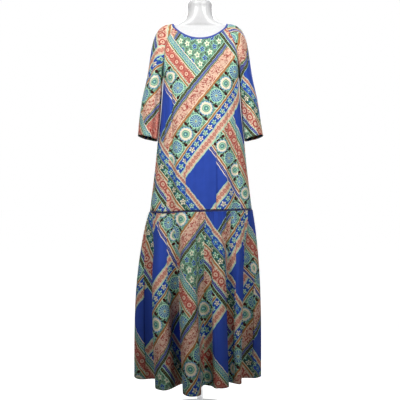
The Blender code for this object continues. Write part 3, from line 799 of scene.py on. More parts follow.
def medallion_strip(colour, across, along, low, high, ground):
    """Wide strip of daisies and white rings in turn on a leafy ground, with dark gaps between."""
    y, half, inside = strip(across, low, high)
    pitch = half * 1.92
    x, odd = repeated(along, pitch)
    reach, turn = distance(x, y), y.maths("ARCTAN2", x)
    colour = paint(colour, ground, inside)
    gap_x, _ = repeated(along + pitch / 2, pitch)
    gap, side = gap_x.maths("ABSOLUTE"), y.maths("ABSOLUTE")
    for name, size in (("mint", 0.50), ("deep green", 0.36)):
        leaf = petals(gap_x, side - half * 0.55, half * size, 3, 0.30)
        colour = paint(colour, dye(name), inside * leaf)
    tips = gap / (half * 0.20) + (side - half * 0.80).maths("ABSOLUTE") / (half * 0.36)
    colour = paint(colour, dye("maroon"), inside * (tips < 1.0))
    colour = paint(colour, dye("maroon"), inside * ((gap + side * 0.9) < half * 0.24))
    rays = (turn * 15.0).maths("COSINE") > -0.15
    daisy = paint(dye("mint"), dye("cobalt"), stripe(reach, half * 0.20, half * 0.66) * rays)
    daisy = rings(daisy, reach, half, ((0.66, 0.72, "teal"), (0, 0.10, "ochre")))
    wheel = rings(dye("cream"), reach, half, ((0, 0.46, "green"), (0.30, 0.38, "mint"),
                                              (0, 0.20, "teal"), (0, 0.10, "mint")))
    scallop = (turn * 14.0).maths("COSINE") * (half * 0.04) + half * 0.84
    wheel = paint(wheel, dye("sky"), reach > (scallop - half * 0.10))
    return paint(colour, paint(daisy, wheel, odd), inside * (reach < scallop))


def chain_strip(colour, across, along, low, high):
    """Narrow black border of olive links."""
    y, half, inside = strip(across, low, high)
    x, _ = repeated(along, half * 1.7)
    colour = paint(colour, dye("black"), inside)
    link = stripe(distance(x, y * 0.8), half * 0.28, half * 0.60)
    return paint(colour, dye("olive"), inside * link)


def dotted_strip(colour, across, along, low, high):
    """Narrow purple stripe of pale dots."""
    y, half, inside = strip(across, low, high)
    x, _ = repeated(along, half * 1.5)
    colour = paint(colour, dye("purple"), inside)
    return rings(colour, distance(x, y), half, ((0, 0.34, "sky"),))


def scroll_field(place, scale, ground, curl, deep, seed):
    """Ground of curling lines: level lines of a slow noise, with seeds between them."""
    swirl = place.node("ShaderNodeTexNoise", {}, {"Vector": place, "Scale": scale, "Detail": 1.0,
                                                   "Distortion": 1.6})
    waves = (swirl * 19.0).maths("SINE")
    colour = paint(dye(ground), dye(curl), waves > 0.0)
    colour = paint(colour, dye(deep), waves > 0.72)
    seeds = place.node("ShaderNodeTexVoronoi", {}, {"Vector": place, "Scale": scale * 2.6})
    colour = paint(colour, dye(seed), seeds < 0.22)
    return paint(colour, dye(deep), seeds < 0.08)


def blossom_field(across, along, ground):
    """Diamond filled with rows of blossoms, pale and blue in turn, between dark leaves."""
    half = FIELD_PITCH / 2
    x, odd = repeated(across, FIELD_PITCH)
    staggered = along + odd * half
    y, high = repeated(staggered, FIELD_PITCH)
    leaf_x, _ = repeated(across + half, FIELD_PITCH)
    leaf_y, _ = repeated(staggered + half, FIELD_PITCH)
    flower = paint(dye("cream"), dye("cobalt"), high)
    colour = paint(ground, dye("maroon"), petals(leaf_x, leaf_y, FIELD_RADII["leaf"], 4, 0.45))
    colour = paint(colour, dye("mint"), petals(x, y, FIELD_RADII["rim"], 5, 0.22))
    colour = paint(colour, flower, petals(x, y, FIELD_RADII["flower"], 5, 0.24))
    colour = paint(colour, dye("deep green"), distance(x, y) < FIELD_RADII["eye"])
    return paint(colour, dye("mint"), distance(x, y) < FIELD_RADII["dot"])


def ornate_strip(colour, across, along, low, high, field):
    """Coral strip with large ringed circles on the curling ground, and a row of beads each side."""
    y, half, inside = strip(across, low, high)
    x, _ = repeated(along, half * 1.7)
    colour = paint(colour, field, inside)
    colour = rings(colour, distance(x, y), half, ((0, 0.74, "coral"), (0.50, 0.60, "red"),
                                                  (0, 0.40, "peach"), (0, 0.14, "red")))
    bead_x, _ = repeated(along, half * 0.42)
    beads = distance(bead_x, y.maths("ABSOLUTE") - half * 0.88) < half * 0.09
    return paint(colour, dye("cream"), inside * beads)


def lines(colour, across, table):
    """Plain coloured lines between the strips: from, to, dye."""
    for low, high, name in table:
        colour = paint(colour, dye(name), stripe(across, low, high))
    return colour


def rising_bands(across, along, fields):
    """The stack of borders that rises to the right."""
    colour = lines(across * 0, across, ((0.000, 0.212, "mint"),))
    colour = ring_strip(colour, across, along, 0.004, 0.030, "peach", "coral")
    colour = blossom_strip(colour, across, along, 0.034, 0.060, "cobalt", "mint", "cream")
    colour = lines(colour, across, ((0.062, 0.069, "ochre"), (0.069, 0.071, "cream")))
    colour = medallion_strip(colour, across, along, 0.071, 0.137, fields["leaf"])
    colour = lines(colour, across, ((0.137, 0.145, "ochre"), (0.145, 0.147, "cream")))
    colour = paint(colour, fields["peach"], stripe(across, 0.147, 0.186))
    colour = lines(colour, across, ((0.186, 0.190, "olive"),))
    colour = dotted_strip(colour, across, along, 0.191, 0.199)
    return chain_strip(colour, across, along, 0.200, 0.210)


def medallion_bands(across, along, fields):
    """A stack for every other falling place: medallions, coral circles and small rings."""
    colour = lines(across * 0, across, ((0.000, 0.164, "cream"),))
    colour = dotted_strip(colour, across, along, 0.003, 0.013)
    colour = medallion_strip(colour, across, along, 0.024, 0.084, fields["leaf"])
    colour = lines(colour, across, ((0.016, 0.022, "ochre"), (0.086, 0.092, "ochre"),
                                    (0.092, 0.095, "mint")))
    colour = ornate_strip(colour, across, along, 0.095, 0.133, fields["coral"])
    colour = lines(colour, across, ((0.135, 0.140, "olive"), (0.140, 0.143, "mint")))
    return ring_strip(colour, across, along, 0.143, 0.161, "teal", "mint")


def falling_bands(across, along, fields):
    """The stack of borders that falls to the right."""
    colour = lines(across * 0, across, ((0.000, 0.164, "mint"),))
    colour = chain_strip(colour, across, along, 0.003, 0.015)
    colour = dotted_strip(colour, across, along, 0.018, 0.029)
    colour = ornate_strip(colour, across, along, 0.032, 0.072, fields["peach"])
    colour = lines(colour, across, ((0.074, 0.081, "ochre"), (0.081, 0.084, "cream")))
    colour = blossom_strip(colour, across, along, 0.084, 0.112, "deep green", "mint", "cream")
    colour = lines(colour, across, ((0.113, 0.117, "olive"),))
    colour = blossom_strip(colour, across, along, 0.118, 0.144, "cobalt", "mint", "sky")
    return ring_strip(colour, across, along, 0.146, 0.162, "peach", "red")


def eased(value, low, high):
    """Smooth rise from 0 to 1 between two values."""
    return value.node("ShaderNodeMapRange", {"interpolation_type": "SMOOTHSTEP"},
                      {"Value": value, "From Min": low, "From Max": high})


def odd_number(value):
    """1 where a whole number is odd."""
    return (value * 0.5).maths("FRACT") > 0.25


def printed_material():
    """Printed crepe. Two families of borders cross at a slope and leave plain, scrolled or flowered
    diamonds. The dyes spread a little in the weave, and the crepe has a fine pebbled grain."""
    made, place = new_material("printed_cloth")
    flat = place.node("ShaderNodeUVMap", {"uv_map": "cloth"}, {})
    hand = flat.node("ShaderNodeTexNoise", {"noise_dimensions": "2D"},
                     {"Vector": flat, "Scale": 60.0, "Detail": 1.0}, output=1)
    shaken = hand.node("ShaderNodeVectorMath", {"operation": "MULTIPLY_ADD"},
                       {0: hand, 1: (DYE_SPREAD, DYE_SPREAD, 0.0), 2: flat})
    parts = shaken.node("ShaderNodeSeparateXYZ", {}, {0: shaken})
    u, v = parts, Shade(made.node_tree, parts.socket.node.outputs[1])
    sine, cosine = math.sin(BAND_SLOPE), math.cos(BAND_SLOPE)
    rising, rising_along = u * sine - v * cosine, u * cosine + v * sine
    falling, falling_along = u * sine + v * cosine, u * cosine - v * sine
    rising_number = (rising / RISING_PITCH).maths("FLOOR")
    falling_number = (falling / FALLING_PITCH).maths("FLOOR")
    rising = rising - rising_number * RISING_PITCH
    falling = falling - falling_number * FALLING_PITCH
    fields = {
        "peach": scroll_field(flat, 60.0, "peach", "pale coral", "red", "cream"),
        "coral": scroll_field(flat, 40.0, "coral", "pale coral", "red", "peach"),
        "leaf": scroll_field(flat, 52.0, "green", "pale green", "deep green", "mint"),
    }
    turned_up = odd_number(rising_number)
    stack = rising + turned_up * (RISING_WIDTH - 2 * rising)
    up = rising_bands(stack, rising_along + rising_number * RISING_STEP, fields)
    down = paint(falling_bands(falling, falling_along, fields),
                 medallion_bands(falling, falling_along, fields), odd_number(falling_number))
    scrolled = odd_number(rising_number + 1) * odd_number(falling_number)
    blossoming = odd_number((rising_number * 0.5).maths("FLOOR") + 1)
    patterned = paint(fields["coral"], blossom_field(rising, falling, fields["leaf"]), blossoming)
    colour = paint(dye("cobalt"), patterned, scrolled)
    on_rising = rising < RISING_WIDTH
    on_falling = falling < FALLING_WIDTH
    colour = paint(colour, down, on_falling)
    under = on_falling * odd_number(rising_number + falling_number)
    colour = paint(colour, up, on_rising * (1 - under))
    grain, mottle = noise(flat, 900.0, 2.0), noise(flat, 26.0, 4.0)
    tone = mottle.node("ShaderNodeMapRange", {}, {"Value": mottle + grain * 0.4, "From Min": 0.3,
                                                   "From Max": 1.1, "To Min": 0.86, "To Max": 1.08})
    colour = tone.node("ShaderNodeVectorMath", {"operation": "SCALE"}, {0: colour, "Scale": tone})
    seam = flat.node("ShaderNodeAttribute", {"attribute_name": "from_seam"}, {}, output=2)
    hem = flat.node("ShaderNodeAttribute", {"attribute_name": "from_hem"}, {}, output=2)
    turned_in = eased(seam, 0.0, SEAM_ROLL)
    folded = 1 - eased(hem, HEM_TURN - HEM_EDGE, HEM_TURN + HEM_EDGE)
    thread_pull = eased((hem - HEM_STITCH).maths("ABSOLUTE"), 0.0, STITCH_GROOVE)
    pucker = noise(flat, 110.0, 1.0)
    near_seam = 1 - eased(seam, 0.0, PUCKER_REACH)
    near_hem = 1 - eased(hem, 0.0, HEM_TURN + HEM_PUCKER)
    # Painted shade: the print is darkened to 0.65 at every seam and panel edge, and comes back to full
    # within SEAM_SHADE.
    shaded = eased(seam, 0.0, SEAM_SHADE) * 0.35 + 0.65
    colour = colour.node("ShaderNodeVectorMath", {"operation": "SCALE"}, {0: colour, "Scale": shaded})
    form = turned_in * 0.9 + folded * 0.4 + thread_pull * 0.3
    form = form + pucker * (near_seam * 0.9 + near_hem * 0.5)
    raised = bumped(form, 0.8, SEAM_RELIEF)
    bump = grain.node("ShaderNodeBump", {}, {"Height": grain, "Strength": 0.5,
                                             "Distance": CREPE_RELIEF, "Normal": raised})
    return finished(made, {
        "Base Color": colour, "Normal": bump, "Roughness": grain * 0.2 + 0.62,
        "Specular IOR Level": 0.10, "Sheen Weight": 0.03, "Sheen Roughness": 0.5,
    })


def side_pairs(values):
    """Left and right value of each face column of an open grid."""
    return np.stack([values[:, :-1], values[:, 1:]], axis=-1)


def level_run(points):
    """Distance run along each row of a grid, seen from above."""
    steps = np.linalg.norm(np.diff(points[..., :2], axis=1), axis=-1)
    return np.concatenate([np.zeros((len(points), 1)), np.cumsum(steps, axis=1)], axis=1)


def down_run(points):
    """Distance run down each column of a grid."""
    steps = np.linalg.norm(np.diff(points, axis=0), axis=-1)
    return np.concatenate([np.zeros((1, points.shape[1])), np.cumsum(steps, axis=0)])


def cloth_shell(piece):
    """Give a cloth surface its thickness, inwards."""
    wall = piece.modifiers.new("cloth thickness", "SOLIDIFY")
    wall.thickness = WALL
    wall.offset = -1.0


def panel_area(points):
    """Area of a grid of quads: half the length of its diagonals' cross product."""
    first = points[1:, 1:] - points[:-1, :-1]
    second = points[1:, :-1] - points[:-1, 1:]
    return float(np.linalg.norm(np.cross(first, second), axis=-1).sum() / 2)


cloth = printed_material()
seams = {name: raglan_seam(side) for name, side in SIDES.items()}
bodice = bodice_grid(seams)
bodice_count = bodice.shape[1]
PANEL_PRINT = {
    # where the panel lies on the printed cloth
    "front": (0.02, 0.39),
    "back": (0.43, -0.21),
}
for name, first in (("front", 0), ("back", bodice_count // 2)):
    picked = np.arange(first, first + bodice_count // 2 + 1) % bodice_count
    panel = bodice[:, picked].copy()
    ahead = -1 if name == "front" else 1
    panel[:, [0, -1], 1] += ahead * SEAM_GAP / 2
    run = level_run(panel)
    run = run - run[:, [run.shape[1] // 2]]
    start = PANEL_PRINT[name]
    across = side_pairs(run + start[0])
    for middle, top, _, hidden, _ in BODICE_LAPS:
        line = round((middle + 90) / 360 * bodice_count) - first
        if 0 < line < len(picked) - 1:
            tucked = hidden * lap_share(panel[:, line, 2], top)
            if line > len(picked) // 2:
                across[:, line:] += tucked[:, None, None]
            else:
                across[:, :line] -= tucked[:, None, None]
    down = down_run(panel)
    sides = np.minimum(run - run[:, :1], run[:, -1:] - run)
    from_seam = np.minimum(np.minimum(down, down[-1:] - down), sides)
    mesh = grid_mesh("printed_bodice_" + name, panel, across=across,
                     along=side_pairs(panel[..., 2] + start[1]),
                     marks={"from_seam": from_seam, "from_hem": 0 * down + 1})
    piece = place_piece(mesh, cloth, "bodice_" + name)
    cloth_shell(piece)
    cut_width = float(run[-1, -1] - run[-1, 0])
    cut_length = float(panel[..., 2].max() - panel[..., 2].min())
    panel_area(panel)

# Sleeves
# Raglan sleeves of the same crepe, each one piece closed under the arm. They hang open and end in a
# narrow turned hem below the elbow.
SLEEVE_HEAD_HEIGHT = 1.335
NECK_SHOULDER = (0.110, 0.004, 1.567)
SLEEVE_SECTIONS = {
    # height, inner side, outer side, reach in front, reach behind
    "left": (
        (1.112, 0.1700, 0.2485, 0.078, 0.066),
        (1.180, 0.1610, 0.2430, 0.076, 0.068),
        (1.250, 0.1550, 0.2340, 0.074, 0.070),
        (1.335, 0.1495, 0.2160, 0.072, 0.070),
    ),
    "right": (
        (1.112, 0.1780, 0.2525, 0.078, 0.066),
        (1.180, 0.1690, 0.2420, 0.076, 0.068),
        (1.250, 0.1630, 0.2320, 0.074, 0.070),
        (1.335, 0.1575, 0.2140, 0.072, 0.070),
    ),
}
SLEEVE_SQUARENESS = 2.5
SLEEVE_LEAN = 0.008
CUFF_RISE = 0.011
SHOULDER_REACH = 0.36
SHOULDER_FALL = 0.47
SLEEVE_FOLDS = ((62.0, 16.0, 0.007), (128.0, 18.0, 0.004), (250.0, 20.0, 0.006))
SLEEVE_MEAN_REACH = 0.07
SLEEVE_CREASES = {
    # angle and height at its start, angle and height at its end, spread, depth inwards
    "left": (
        (40, 1.40, 30, 1.12, 0.0050, 0.0068),
        (84, 1.36, 92, 1.14, 0.0060, 0.0041),
        (110, 1.46, 150, 1.28, 0.0070, 0.0044),
        (150, 1.30, 140, 1.15, 0.0060, 0.0041),
        (185, 1.36, 190, 1.16, 0.0070, 0.0044),
        (225, 1.44, 232, 1.14, 0.0065, 0.0051),
        (270, 1.38, 282, 1.14, 0.0060, 0.0044),
        (318, 1.34, 322, 1.14, 0.0055, 0.0041),
    ),
    "right": (
        (34, 1.38, 28, 1.14, 0.0050, 0.0054),
        (70, 1.44, 96, 1.22, 0.0065, 0.0048),
        (104, 1.30, 100, 1.13, 0.0055, 0.0037),
        (128, 1.50, 158, 1.36, 0.0065, 0.0044),
        (170, 1.34, 160, 1.15, 0.0070, 0.0044),
        (214, 1.42, 226, 1.16, 0.0065, 0.0051),
        (262, 1.40, 268, 1.15, 0.0060, 0.0044),
        (312, 1.36, 316, 1.15, 0.0055, 0.0037),
    ),
}
SLEEVE_LAPS = {
    # angle, height where it starts, depth of its step, cloth hidden in it at the cuff, side on top
    "left": ((46, 1.38, 0.0070, 0.030, -1), (122, 1.30, 0.0040, 0.012, 1), (246, 1.34, 0.0060, 0.020, 1)),
    "right": ((40, 1.36, 0.0050, 0.018, -1), (112, 1.28, 0.0040, 0.012, 1), (238, 1.34, 0.0060, 0.020, 1)),
}
SLEEVE_METRES_PER_DEGREE = 0.0012
SLEEVE_EDGE = 0.25
SHOULDER_SLOPE = 80.0
SHOULDER_POWER = 1.5
SHOULDER_STEPS = 24
THREAD_RADIUS = 0.00022
STITCH_RINGS = 5
STITCH_SIDES = 6
STITCH_SHARE = 0.78
HEM_PITCH = 0.0030
SLEEVE_HEAD_ROWS = 56
SLEEVE_ROWS = 48
SLEEVE_PRINT = {"left": (0.30, 0.14), "right": (-0.19, 0.26)}


def sleeve_ring(side_name, height, angle):
    """Squared ellipse round a sleeve from its inner side over its front, drawn in at each fold."""
    inner, outer, front, back = columns_at(SLEEVE_SECTIONS[side_name], height)
    middle, half = (inner + outer) / 2, (outer - inner) / 2
    sideways = signed_power(np.cos(angle), 2 / SLEEVE_SQUARENESS)
    ahead = signed_power(np.sin(angle), 2 / SLEEVE_SQUARENESS)
    reach = np.where(ahead > 0, front, back)
    pull = np.ones(np.broadcast(angle, height).shape)
    for place, spread, depth in SLEEVE_FOLDS:
        pull = pull - depth / SLEEVE_MEAN_REACH * np.exp(-((np.degrees(angle) - place) / spread) ** 2)
    across = SIDES[side_name] * (middle - half * sideways * pull - SLEEVE_LEAN * ahead)
    return np.stack(np.broadcast_arrays(across, -reach * ahead * pull, height), axis=-1)


def sleeve_edge(side_name, seams):
    """Top edge of a sleeve from the underarm up the front, over the shoulder and down behind."""
    seam, side = seams[side_name], SIDES[side_name]
    mid = ARMHOLE_STEPS
    peak = np.array([side * NECK_SHOULDER[0], -NECK_SHOULDER[1], NECK_SHOULDER[2]])
    part = np.linspace(0, 1, SHOULDER_STEPS + 1)[:, None]
    control = 2 * peak - (seam[0] + seam[-1]) / 2
    shoulder = (1 - part) ** 2 * seam[0] + 2 * part * (1 - part) * control + part ** 2 * seam[-1]
    return np.concatenate([seam[mid:0:-1], shoulder[:-1], seam[:mid:-1]]) + [side * SEAM_GAP / 2, 0, 0]


def sleeve_grid(side_name, seams):
    """Outer side of a sleeve: Bezier curves over the shoulder to its head, then rings to the cuff."""
    top = sleeve_edge(side_name, seams)
    count = len(top)
    side = SIDES[side_name]
    angle = 2 * math.pi * np.arange(count) / count
    head = sleeve_ring(side_name, np.full(count, SLEEVE_HEAD_HEIGHT), angle)
    under = sleeve_ring(side_name, np.full(count, SLEEVE_HEAD_HEIGHT - TANGENT_STEP), angle)
    length = np.linalg.norm(head - top, axis=1, keepdims=True)
    slope = np.radians(SHOULDER_SLOPE) * (np.abs(angle - math.pi) / math.pi) ** SHOULDER_POWER
    leave = np.stack([side * np.cos(slope), np.zeros(count), -np.sin(slope)], axis=1)
    second = top + leave * length * SHOULDER_REACH
    third = head + unit(head - under) * length * SHOULDER_FALL
    part = np.linspace(0, 1, SLEEVE_HEAD_ROWS + 1)[:, None, None]
    cap = bezier(top, second, third, head, part)
    cuff = SLEEVE_SECTIONS[side_name][0][0]
    fall = np.linspace(0, 1, SLEEVE_ROWS + 1)[1:, None]
    height = SLEEVE_HEAD_HEIGHT + (cuff - SLEEVE_HEAD_HEIGHT) * fall
    arm = sleeve_ring(side_name, height, np.broadcast_to(angle, (SLEEVE_ROWS, count)))
    arm[..., 2] -= CUFF_RISE * np.cos(angle) * fall
    outer = np.concatenate([cap, arm])
    edge = np.concatenate([smooth_step(part[:, :, 0] / SLEEVE_EDGE), np.ones((SLEEVE_ROWS, 1))])
    degrees = np.degrees(angle)[None, :]
    where = (degrees, outer[..., 2], SLEEVE_METRES_PER_DEGREE)
    depth = crease_depth(SLEEVE_CREASES[side_name], *where)
    depth = edge * (depth + lap_depth(SLEEVE_LAPS[side_name], *where))
    outwards = np.stack([-side * np.cos(angle), -np.sin(angle), np.zeros(count)], axis=1)
    return outer - depth[..., None] * outwards


def facing_out(line, up):
    """Outward directions of cloth along a closed line: square to its run and to the way up."""
    facing = unit(np.cross(np.roll(line, -1, axis=0) - np.roll(line, 1, axis=0), up))
    return facing * np.sign(np.sum(facing * (line - line.mean(axis=0))))


def hem_line(points, rise):
    """Closed line on a tube at a distance above its last row, and the cloth's outward directions
    there."""
    up = unit(points[-3] - points[-1])
    line = points[-1] + up * rise
    return line, facing_out(line, up)


def thread_stitches(name, line, facing, pitch):
    """Row of lockstitches round a closed line: short spindles that dip into the cloth at both
    ends, each a few rings of points about its own axis."""
    ends = np.concatenate([line, line[:1]])
    outward = np.concatenate([facing, facing[:1]])
    reach = np.concatenate([[0], np.cumsum(np.linalg.norm(np.diff(ends, axis=0), axis=1))])
    count = int(reach[-1] / pitch)
    middle = (np.arange(count) + 0.5) * reach[-1] / count

    def at(table, places):
        return np.stack([np.interp(places, reach, table[:, axis]) for axis in range(3)], axis=-1)

    centre = at(ends, middle)
    axis = unit(at(ends, np.minimum(middle + pitch / 3, reach[-1])) - at(ends, middle - pitch / 3))
    out = unit(at(outward, middle))
    beside = np.cross(axis, out)
    part = np.linspace(-1, 1, STITCH_RINGS)
    round_it = 2 * np.pi * np.arange(STITCH_SIDES) / STITCH_SIDES
    thick = THREAD_RADIUS * np.sqrt(1 - 0.9 * part ** 2)
    lift = THREAD_RADIUS * (0.9 - 1.1 * part ** 2)
    along = (part * pitch * STITCH_SHARE / 2)[None, :, None, None] * axis[:, None, None]
    raised = (lift[:, None] + thick[:, None] * np.cos(round_it))[None, :, :, None] * out[:, None, None]
    sideways = (thick[:, None] * np.sin(round_it))[None, :, :, None] * beside[:, None, None]
    points = (centre[:, None, None] + along + raised + sideways).reshape(-1, 3)
    number = np.arange(len(points)).reshape(count, STITCH_RINGS, STITCH_SIDES)
    number = np.concatenate([number, number[..., :1]], axis=2)
    corners = (number[:, :-1, :-1], number[:, 1:, :-1], number[:, 1:, 1:], number[:, :-1, 1:])
    faces = np.stack(corners, axis=-1).reshape(-1, 4).tolist()
    faces += number[:, 0, :-1].tolist() + number[:, -1, -2::-1].tolist()
    mesh = bpy.data.meshes.new(name)
    mesh.from_pydata(points.tolist(), [], faces)
    return mesh


def thread_material():
    """Spun polyester thread: pale, with a fine twist."""
    made, place = new_material("sewing_thread")
    twist = place.node("ShaderNodeTexWave", {"bands_direction": "DIAGONAL"},
                       {"Vector": place, "Scale": 900.0})
    return finished(made, {"Base Color": paint(dye("mint"), dye("cream"), twist),
                           "Normal": bumped(twist, 0.4, 0.0001), "Roughness": 0.55})


sewing_thread = thread_material()
sleeves = {}
for name, side in SIDES.items():
    tube = sleeve_grid(name, seams)
    sleeves[name] = tube
    ring = np.concatenate([tube, tube[:, :1]], axis=1)
    middle = ring.shape[1] // 2
    run = level_run(ring)
    run = side * (run - run[:, [middle]])
    cut_width = float(np.ptp(run, axis=1).max())
    centre = ring[:, middle]
    fallen = np.concatenate([[0], np.cumsum(np.linalg.norm(np.diff(centre, axis=0), axis=1))])
    shoulder_line = (fallen[-1] - fallen) + centre[-1, 2] - centre[:, 2]
    weight = np.sin(np.pi * np.arange(ring.shape[1]) / (ring.shape[1] - 1)) ** 2
    climb = ring[..., 2] + shoulder_line[:, None] * weight
    down = down_run(tube)
    round_way = np.minimum(run - run[:, :1], run[:, -1:] - run)[:, :-1]
    start = SLEEVE_PRINT[name]
    for place, top, _, hidden, _ in SLEEVE_LAPS[name]:
        line = round(place / 360 * tube.shape[1])
        tucked = side * hidden * lap_share(ring[:, line, 2], top)[:, None]
        if line > middle:
            run[:, line:] += tucked
        else:
            run[:, :line] -= tucked
    marks = {"from_seam": np.minimum(down, np.abs(round_way)), "from_hem": down[-1:] - down}
    if side < 0:
        tube, run, climb = np.roll(tube[:, ::-1], 1, axis=1), run[:, ::-1], climb[:, ::-1]
        marks = {key: np.roll(values[:, ::-1], 1, axis=1) for key, values in marks.items()}
    mesh = grid_mesh("printed_sleeve_" + name, tube, closed=True, across=side_pairs(run + start[0]),
                     along=side_pairs(climb + start[1]), marks=marks)
    piece = place_piece(mesh, cloth, "sleeve_" + name)
    cloth_shell(piece)
    cut_length = float(fallen[-1])
    panel_area(ring)
    thread = thread_stitches("cuff_stitches_" + name, *hem_line(tube, HEM_STITCH), HEM_PITCH)
    place_piece(thread, sewing_thread, None)

# Skirt
# A deep tier of the same crepe, two rectangles gathered on to the bodice at the hip. It falls from
# the gathers in wide flutes to a narrow turned hem above the floor.
HEM_HEIGHT = 0.161
HEM_SHIFT = -0.008
SKIRT_HALF_WIDTH = 0.252
SKIRT_FRONT = 0.235
SKIRT_BACK = 0.205
SKIRT_FLUTES = (
    # crest: at the seam, at the hem, its reach; then the valley behind it: the same three
    (-88.0, -92.0, 0.004, -64.0, -60.0, -0.095),
    (-46.0, -32.0, 0.000, -30.0, -22.0, -0.124),
    (-12.0, -4.0, 0.042, 4.0, 10.0, -0.096),
    (18.0, 27.0, -0.040, 33.0, 49.0, -0.112),
    (45.0, 51.0, -0.045, 60.0, 70.0, -0.083),
    (82.0, 92.0, 0.002, 100.0, 106.0, -0.078),
    (118.0, 122.0, -0.014, 133.0, 137.0, -0.096),
    (148.0, 151.0, 0.006, 163.0, 166.0, -0.088),
    (178.0, 180.0, -0.004, 192.0, 195.0, -0.100),
    (208.0, 210.0, 0.008, 223.0, 224.0, -0.084),
    (238.0, 238.0, -0.012, 251.0, 252.0, -0.078),
)
RIGHT_SIDE_FLUTE = 5
FLUTE_STEPS = 64
FLUTE_ROUNDING = 1.10
ROUNDING_FULL = 0.5
SPREAD_POWER = 3.5
OPENING_POWER = 1.5
GATHERS_A_FLUTE = 4
GATHER_DEPTH = 0.0034
GATHER_END = 0.30
GATHER_WAVER = (0.4, 5.92)
FINE_GATHERS = 2.4
FINE_GATHER_DEPTH = 0.0024
FINE_GATHER_END = 0.22
FINE_WAVER = (0.2, 10.0)
FINE_WANDER = (1.3, 2.4)
TROUGH_DEPTH = 0.013
TROUGH_SPREAD = 0.075
TROUGH_FULL = 0.45
TROUGH_WAVER = (0.6, 2.1)
SKIRT_CREASE_FADE = (0.20, 0.30)
SKIRT_LAP_FULL = 0.35
SKIRT_CREASES = (
    # place in flutes from the left side, part of the way down at its start and end, spread in
    # flutes, depth inwards
    (0.16, 0.10, 0.85, 0.045, 0.0058),
    (0.62, 0.02, 0.45, 0.040, -0.0044),
    (0.86, 0.30, 1.30, 0.040, 0.0051),
    (1.12, 0.06, 0.70, 0.045, 0.0054),
    (1.22, 0.45, 1.30, 0.040, -0.0041),
    (1.70, 0.04, 0.50, 0.040, 0.0051),
    (1.90, 0.20, 1.30, 0.045, 0.0061),
    (2.10, 0.03, 0.55, 0.045, 0.0051),
    (2.17, 0.50, 1.30, 0.040, -0.0037),
    (2.78, 0.05, 0.60, 0.045, 0.0061),
    (2.94, 0.35, 1.30, 0.035, 0.0048),
    (3.08, 0.02, 0.42, 0.040, -0.0048),
    (3.20, 0.18, 1.30, 0.045, 0.0061),
    (3.70, 0.03, 0.50, 0.040, 0.0051),
    (3.88, 0.22, 0.95, 0.045, -0.0044),
    (4.12, 0.05, 1.30, 0.045, 0.0058),
    (4.22, 0.42, 1.30, 0.035, -0.0037),
    (4.74, 0.02, 0.48, 0.040, 0.0051),
    (4.90, 0.25, 1.30, 0.045, 0.0054),
    (5.14, 0.04, 0.72, 0.045, 0.0058),
    (5.82, 0.08, 0.80, 0.045, 0.0054),
    (6.10, 0.03, 0.52, 0.040, -0.0044),
    (6.18, 0.40, 1.30, 0.045, 0.0058),
    (6.84, 0.05, 0.66, 0.045, 0.0054),
    (7.12, 0.18, 1.30, 0.045, 0.0058),
    (7.76, 0.03, 0.50, 0.040, -0.0044),
    (7.92, 0.30, 1.30, 0.045, 0.0054),
    (8.14, 0.05, 0.58, 0.045, 0.0058),
    (8.80, 0.12, 0.90, 0.045, 0.0051),
    (9.08, 0.02, 0.46, 0.040, -0.0044),
    (9.18, 0.34, 1.30, 0.045, 0.0058),
    (9.84, 0.06, 0.70, 0.045, 0.0054),
    (10.12, 0.20, 1.30, 0.045, 0.0058),
    (10.76, 0.03, 0.54, 0.040, 0.0051),
    (10.90, 0.38, 1.30, 0.040, -0.0041),
)
SKIRT_LAPS = (
    # place in flutes, part of the way down where it starts, depth of its step, cloth hidden in it
    # at the hem, side on top
    (0.24, 0.00, 0.0060, 0.020, 1),
    (0.80, 0.10, 0.0070, 0.022, -1),
    (1.26, 0.02, 0.0066, 0.024, 1),
    (1.74, 0.00, 0.0062, 0.020, -1),
    (2.22, 0.05, 0.0075, 0.026, 1),
    (2.76, 0.00, 0.0065, 0.020, -1),
    (3.24, 0.08, 0.0072, 0.024, 1),
    (3.78, 0.03, 0.0066, 0.022, -1),
    (4.30, 0.00, 0.0070, 0.022, 1),
    (4.78, 0.12, 0.0064, 0.020, -1),
    (5.70, 0.06, 0.0070, 0.022, -1),
    (6.26, 0.00, 0.0066, 0.022, 1),
    (6.76, 0.10, 0.0064, 0.020, -1),
    (7.28, 0.04, 0.0072, 0.024, 1),
    (8.22, 0.00, 0.0066, 0.020, 1),
    (8.74, 0.08, 0.0070, 0.022, -1),
    (9.26, 0.02, 0.0064, 0.022, 1),
    (10.24, 0.06, 0.0070, 0.024, 1),
    (10.78, 0.00, 0.0062, 0.020, -1),
)
FLUTE_CLOTH = 0.20
SKIRT_ROW_COUNT = 120
SKIRT_ROW_POWER = 1.25
SKIRT_PRINT = (0.21, 0.10)


def flute_places(drop, extreme):
    """Angle and reach of crests and valleys, counted round the skirt, at parts of the way down."""
    seam = np.array([value for row in SKIRT_FLUTES for value in (row[0], row[3])])
    hem = np.array([value for row in SKIRT_FLUTES for value in (row[1], row[4])])
    reach = np.array([value for row in SKIRT_FLUTES for value in (row[2], row[5])])
    turns, index = np.divmod(extreme, len(seam))
    return seam[index] + (hem[index] - seam[index]) * drop + 360 * turns, reach[index]


def wavering(place, least, waves):
    """Strength that wavers between a least value and 1 along places counted in flutes."""
    return (1 + least) / 2 + (1 - least) / 2 * np.sin(place * waves)


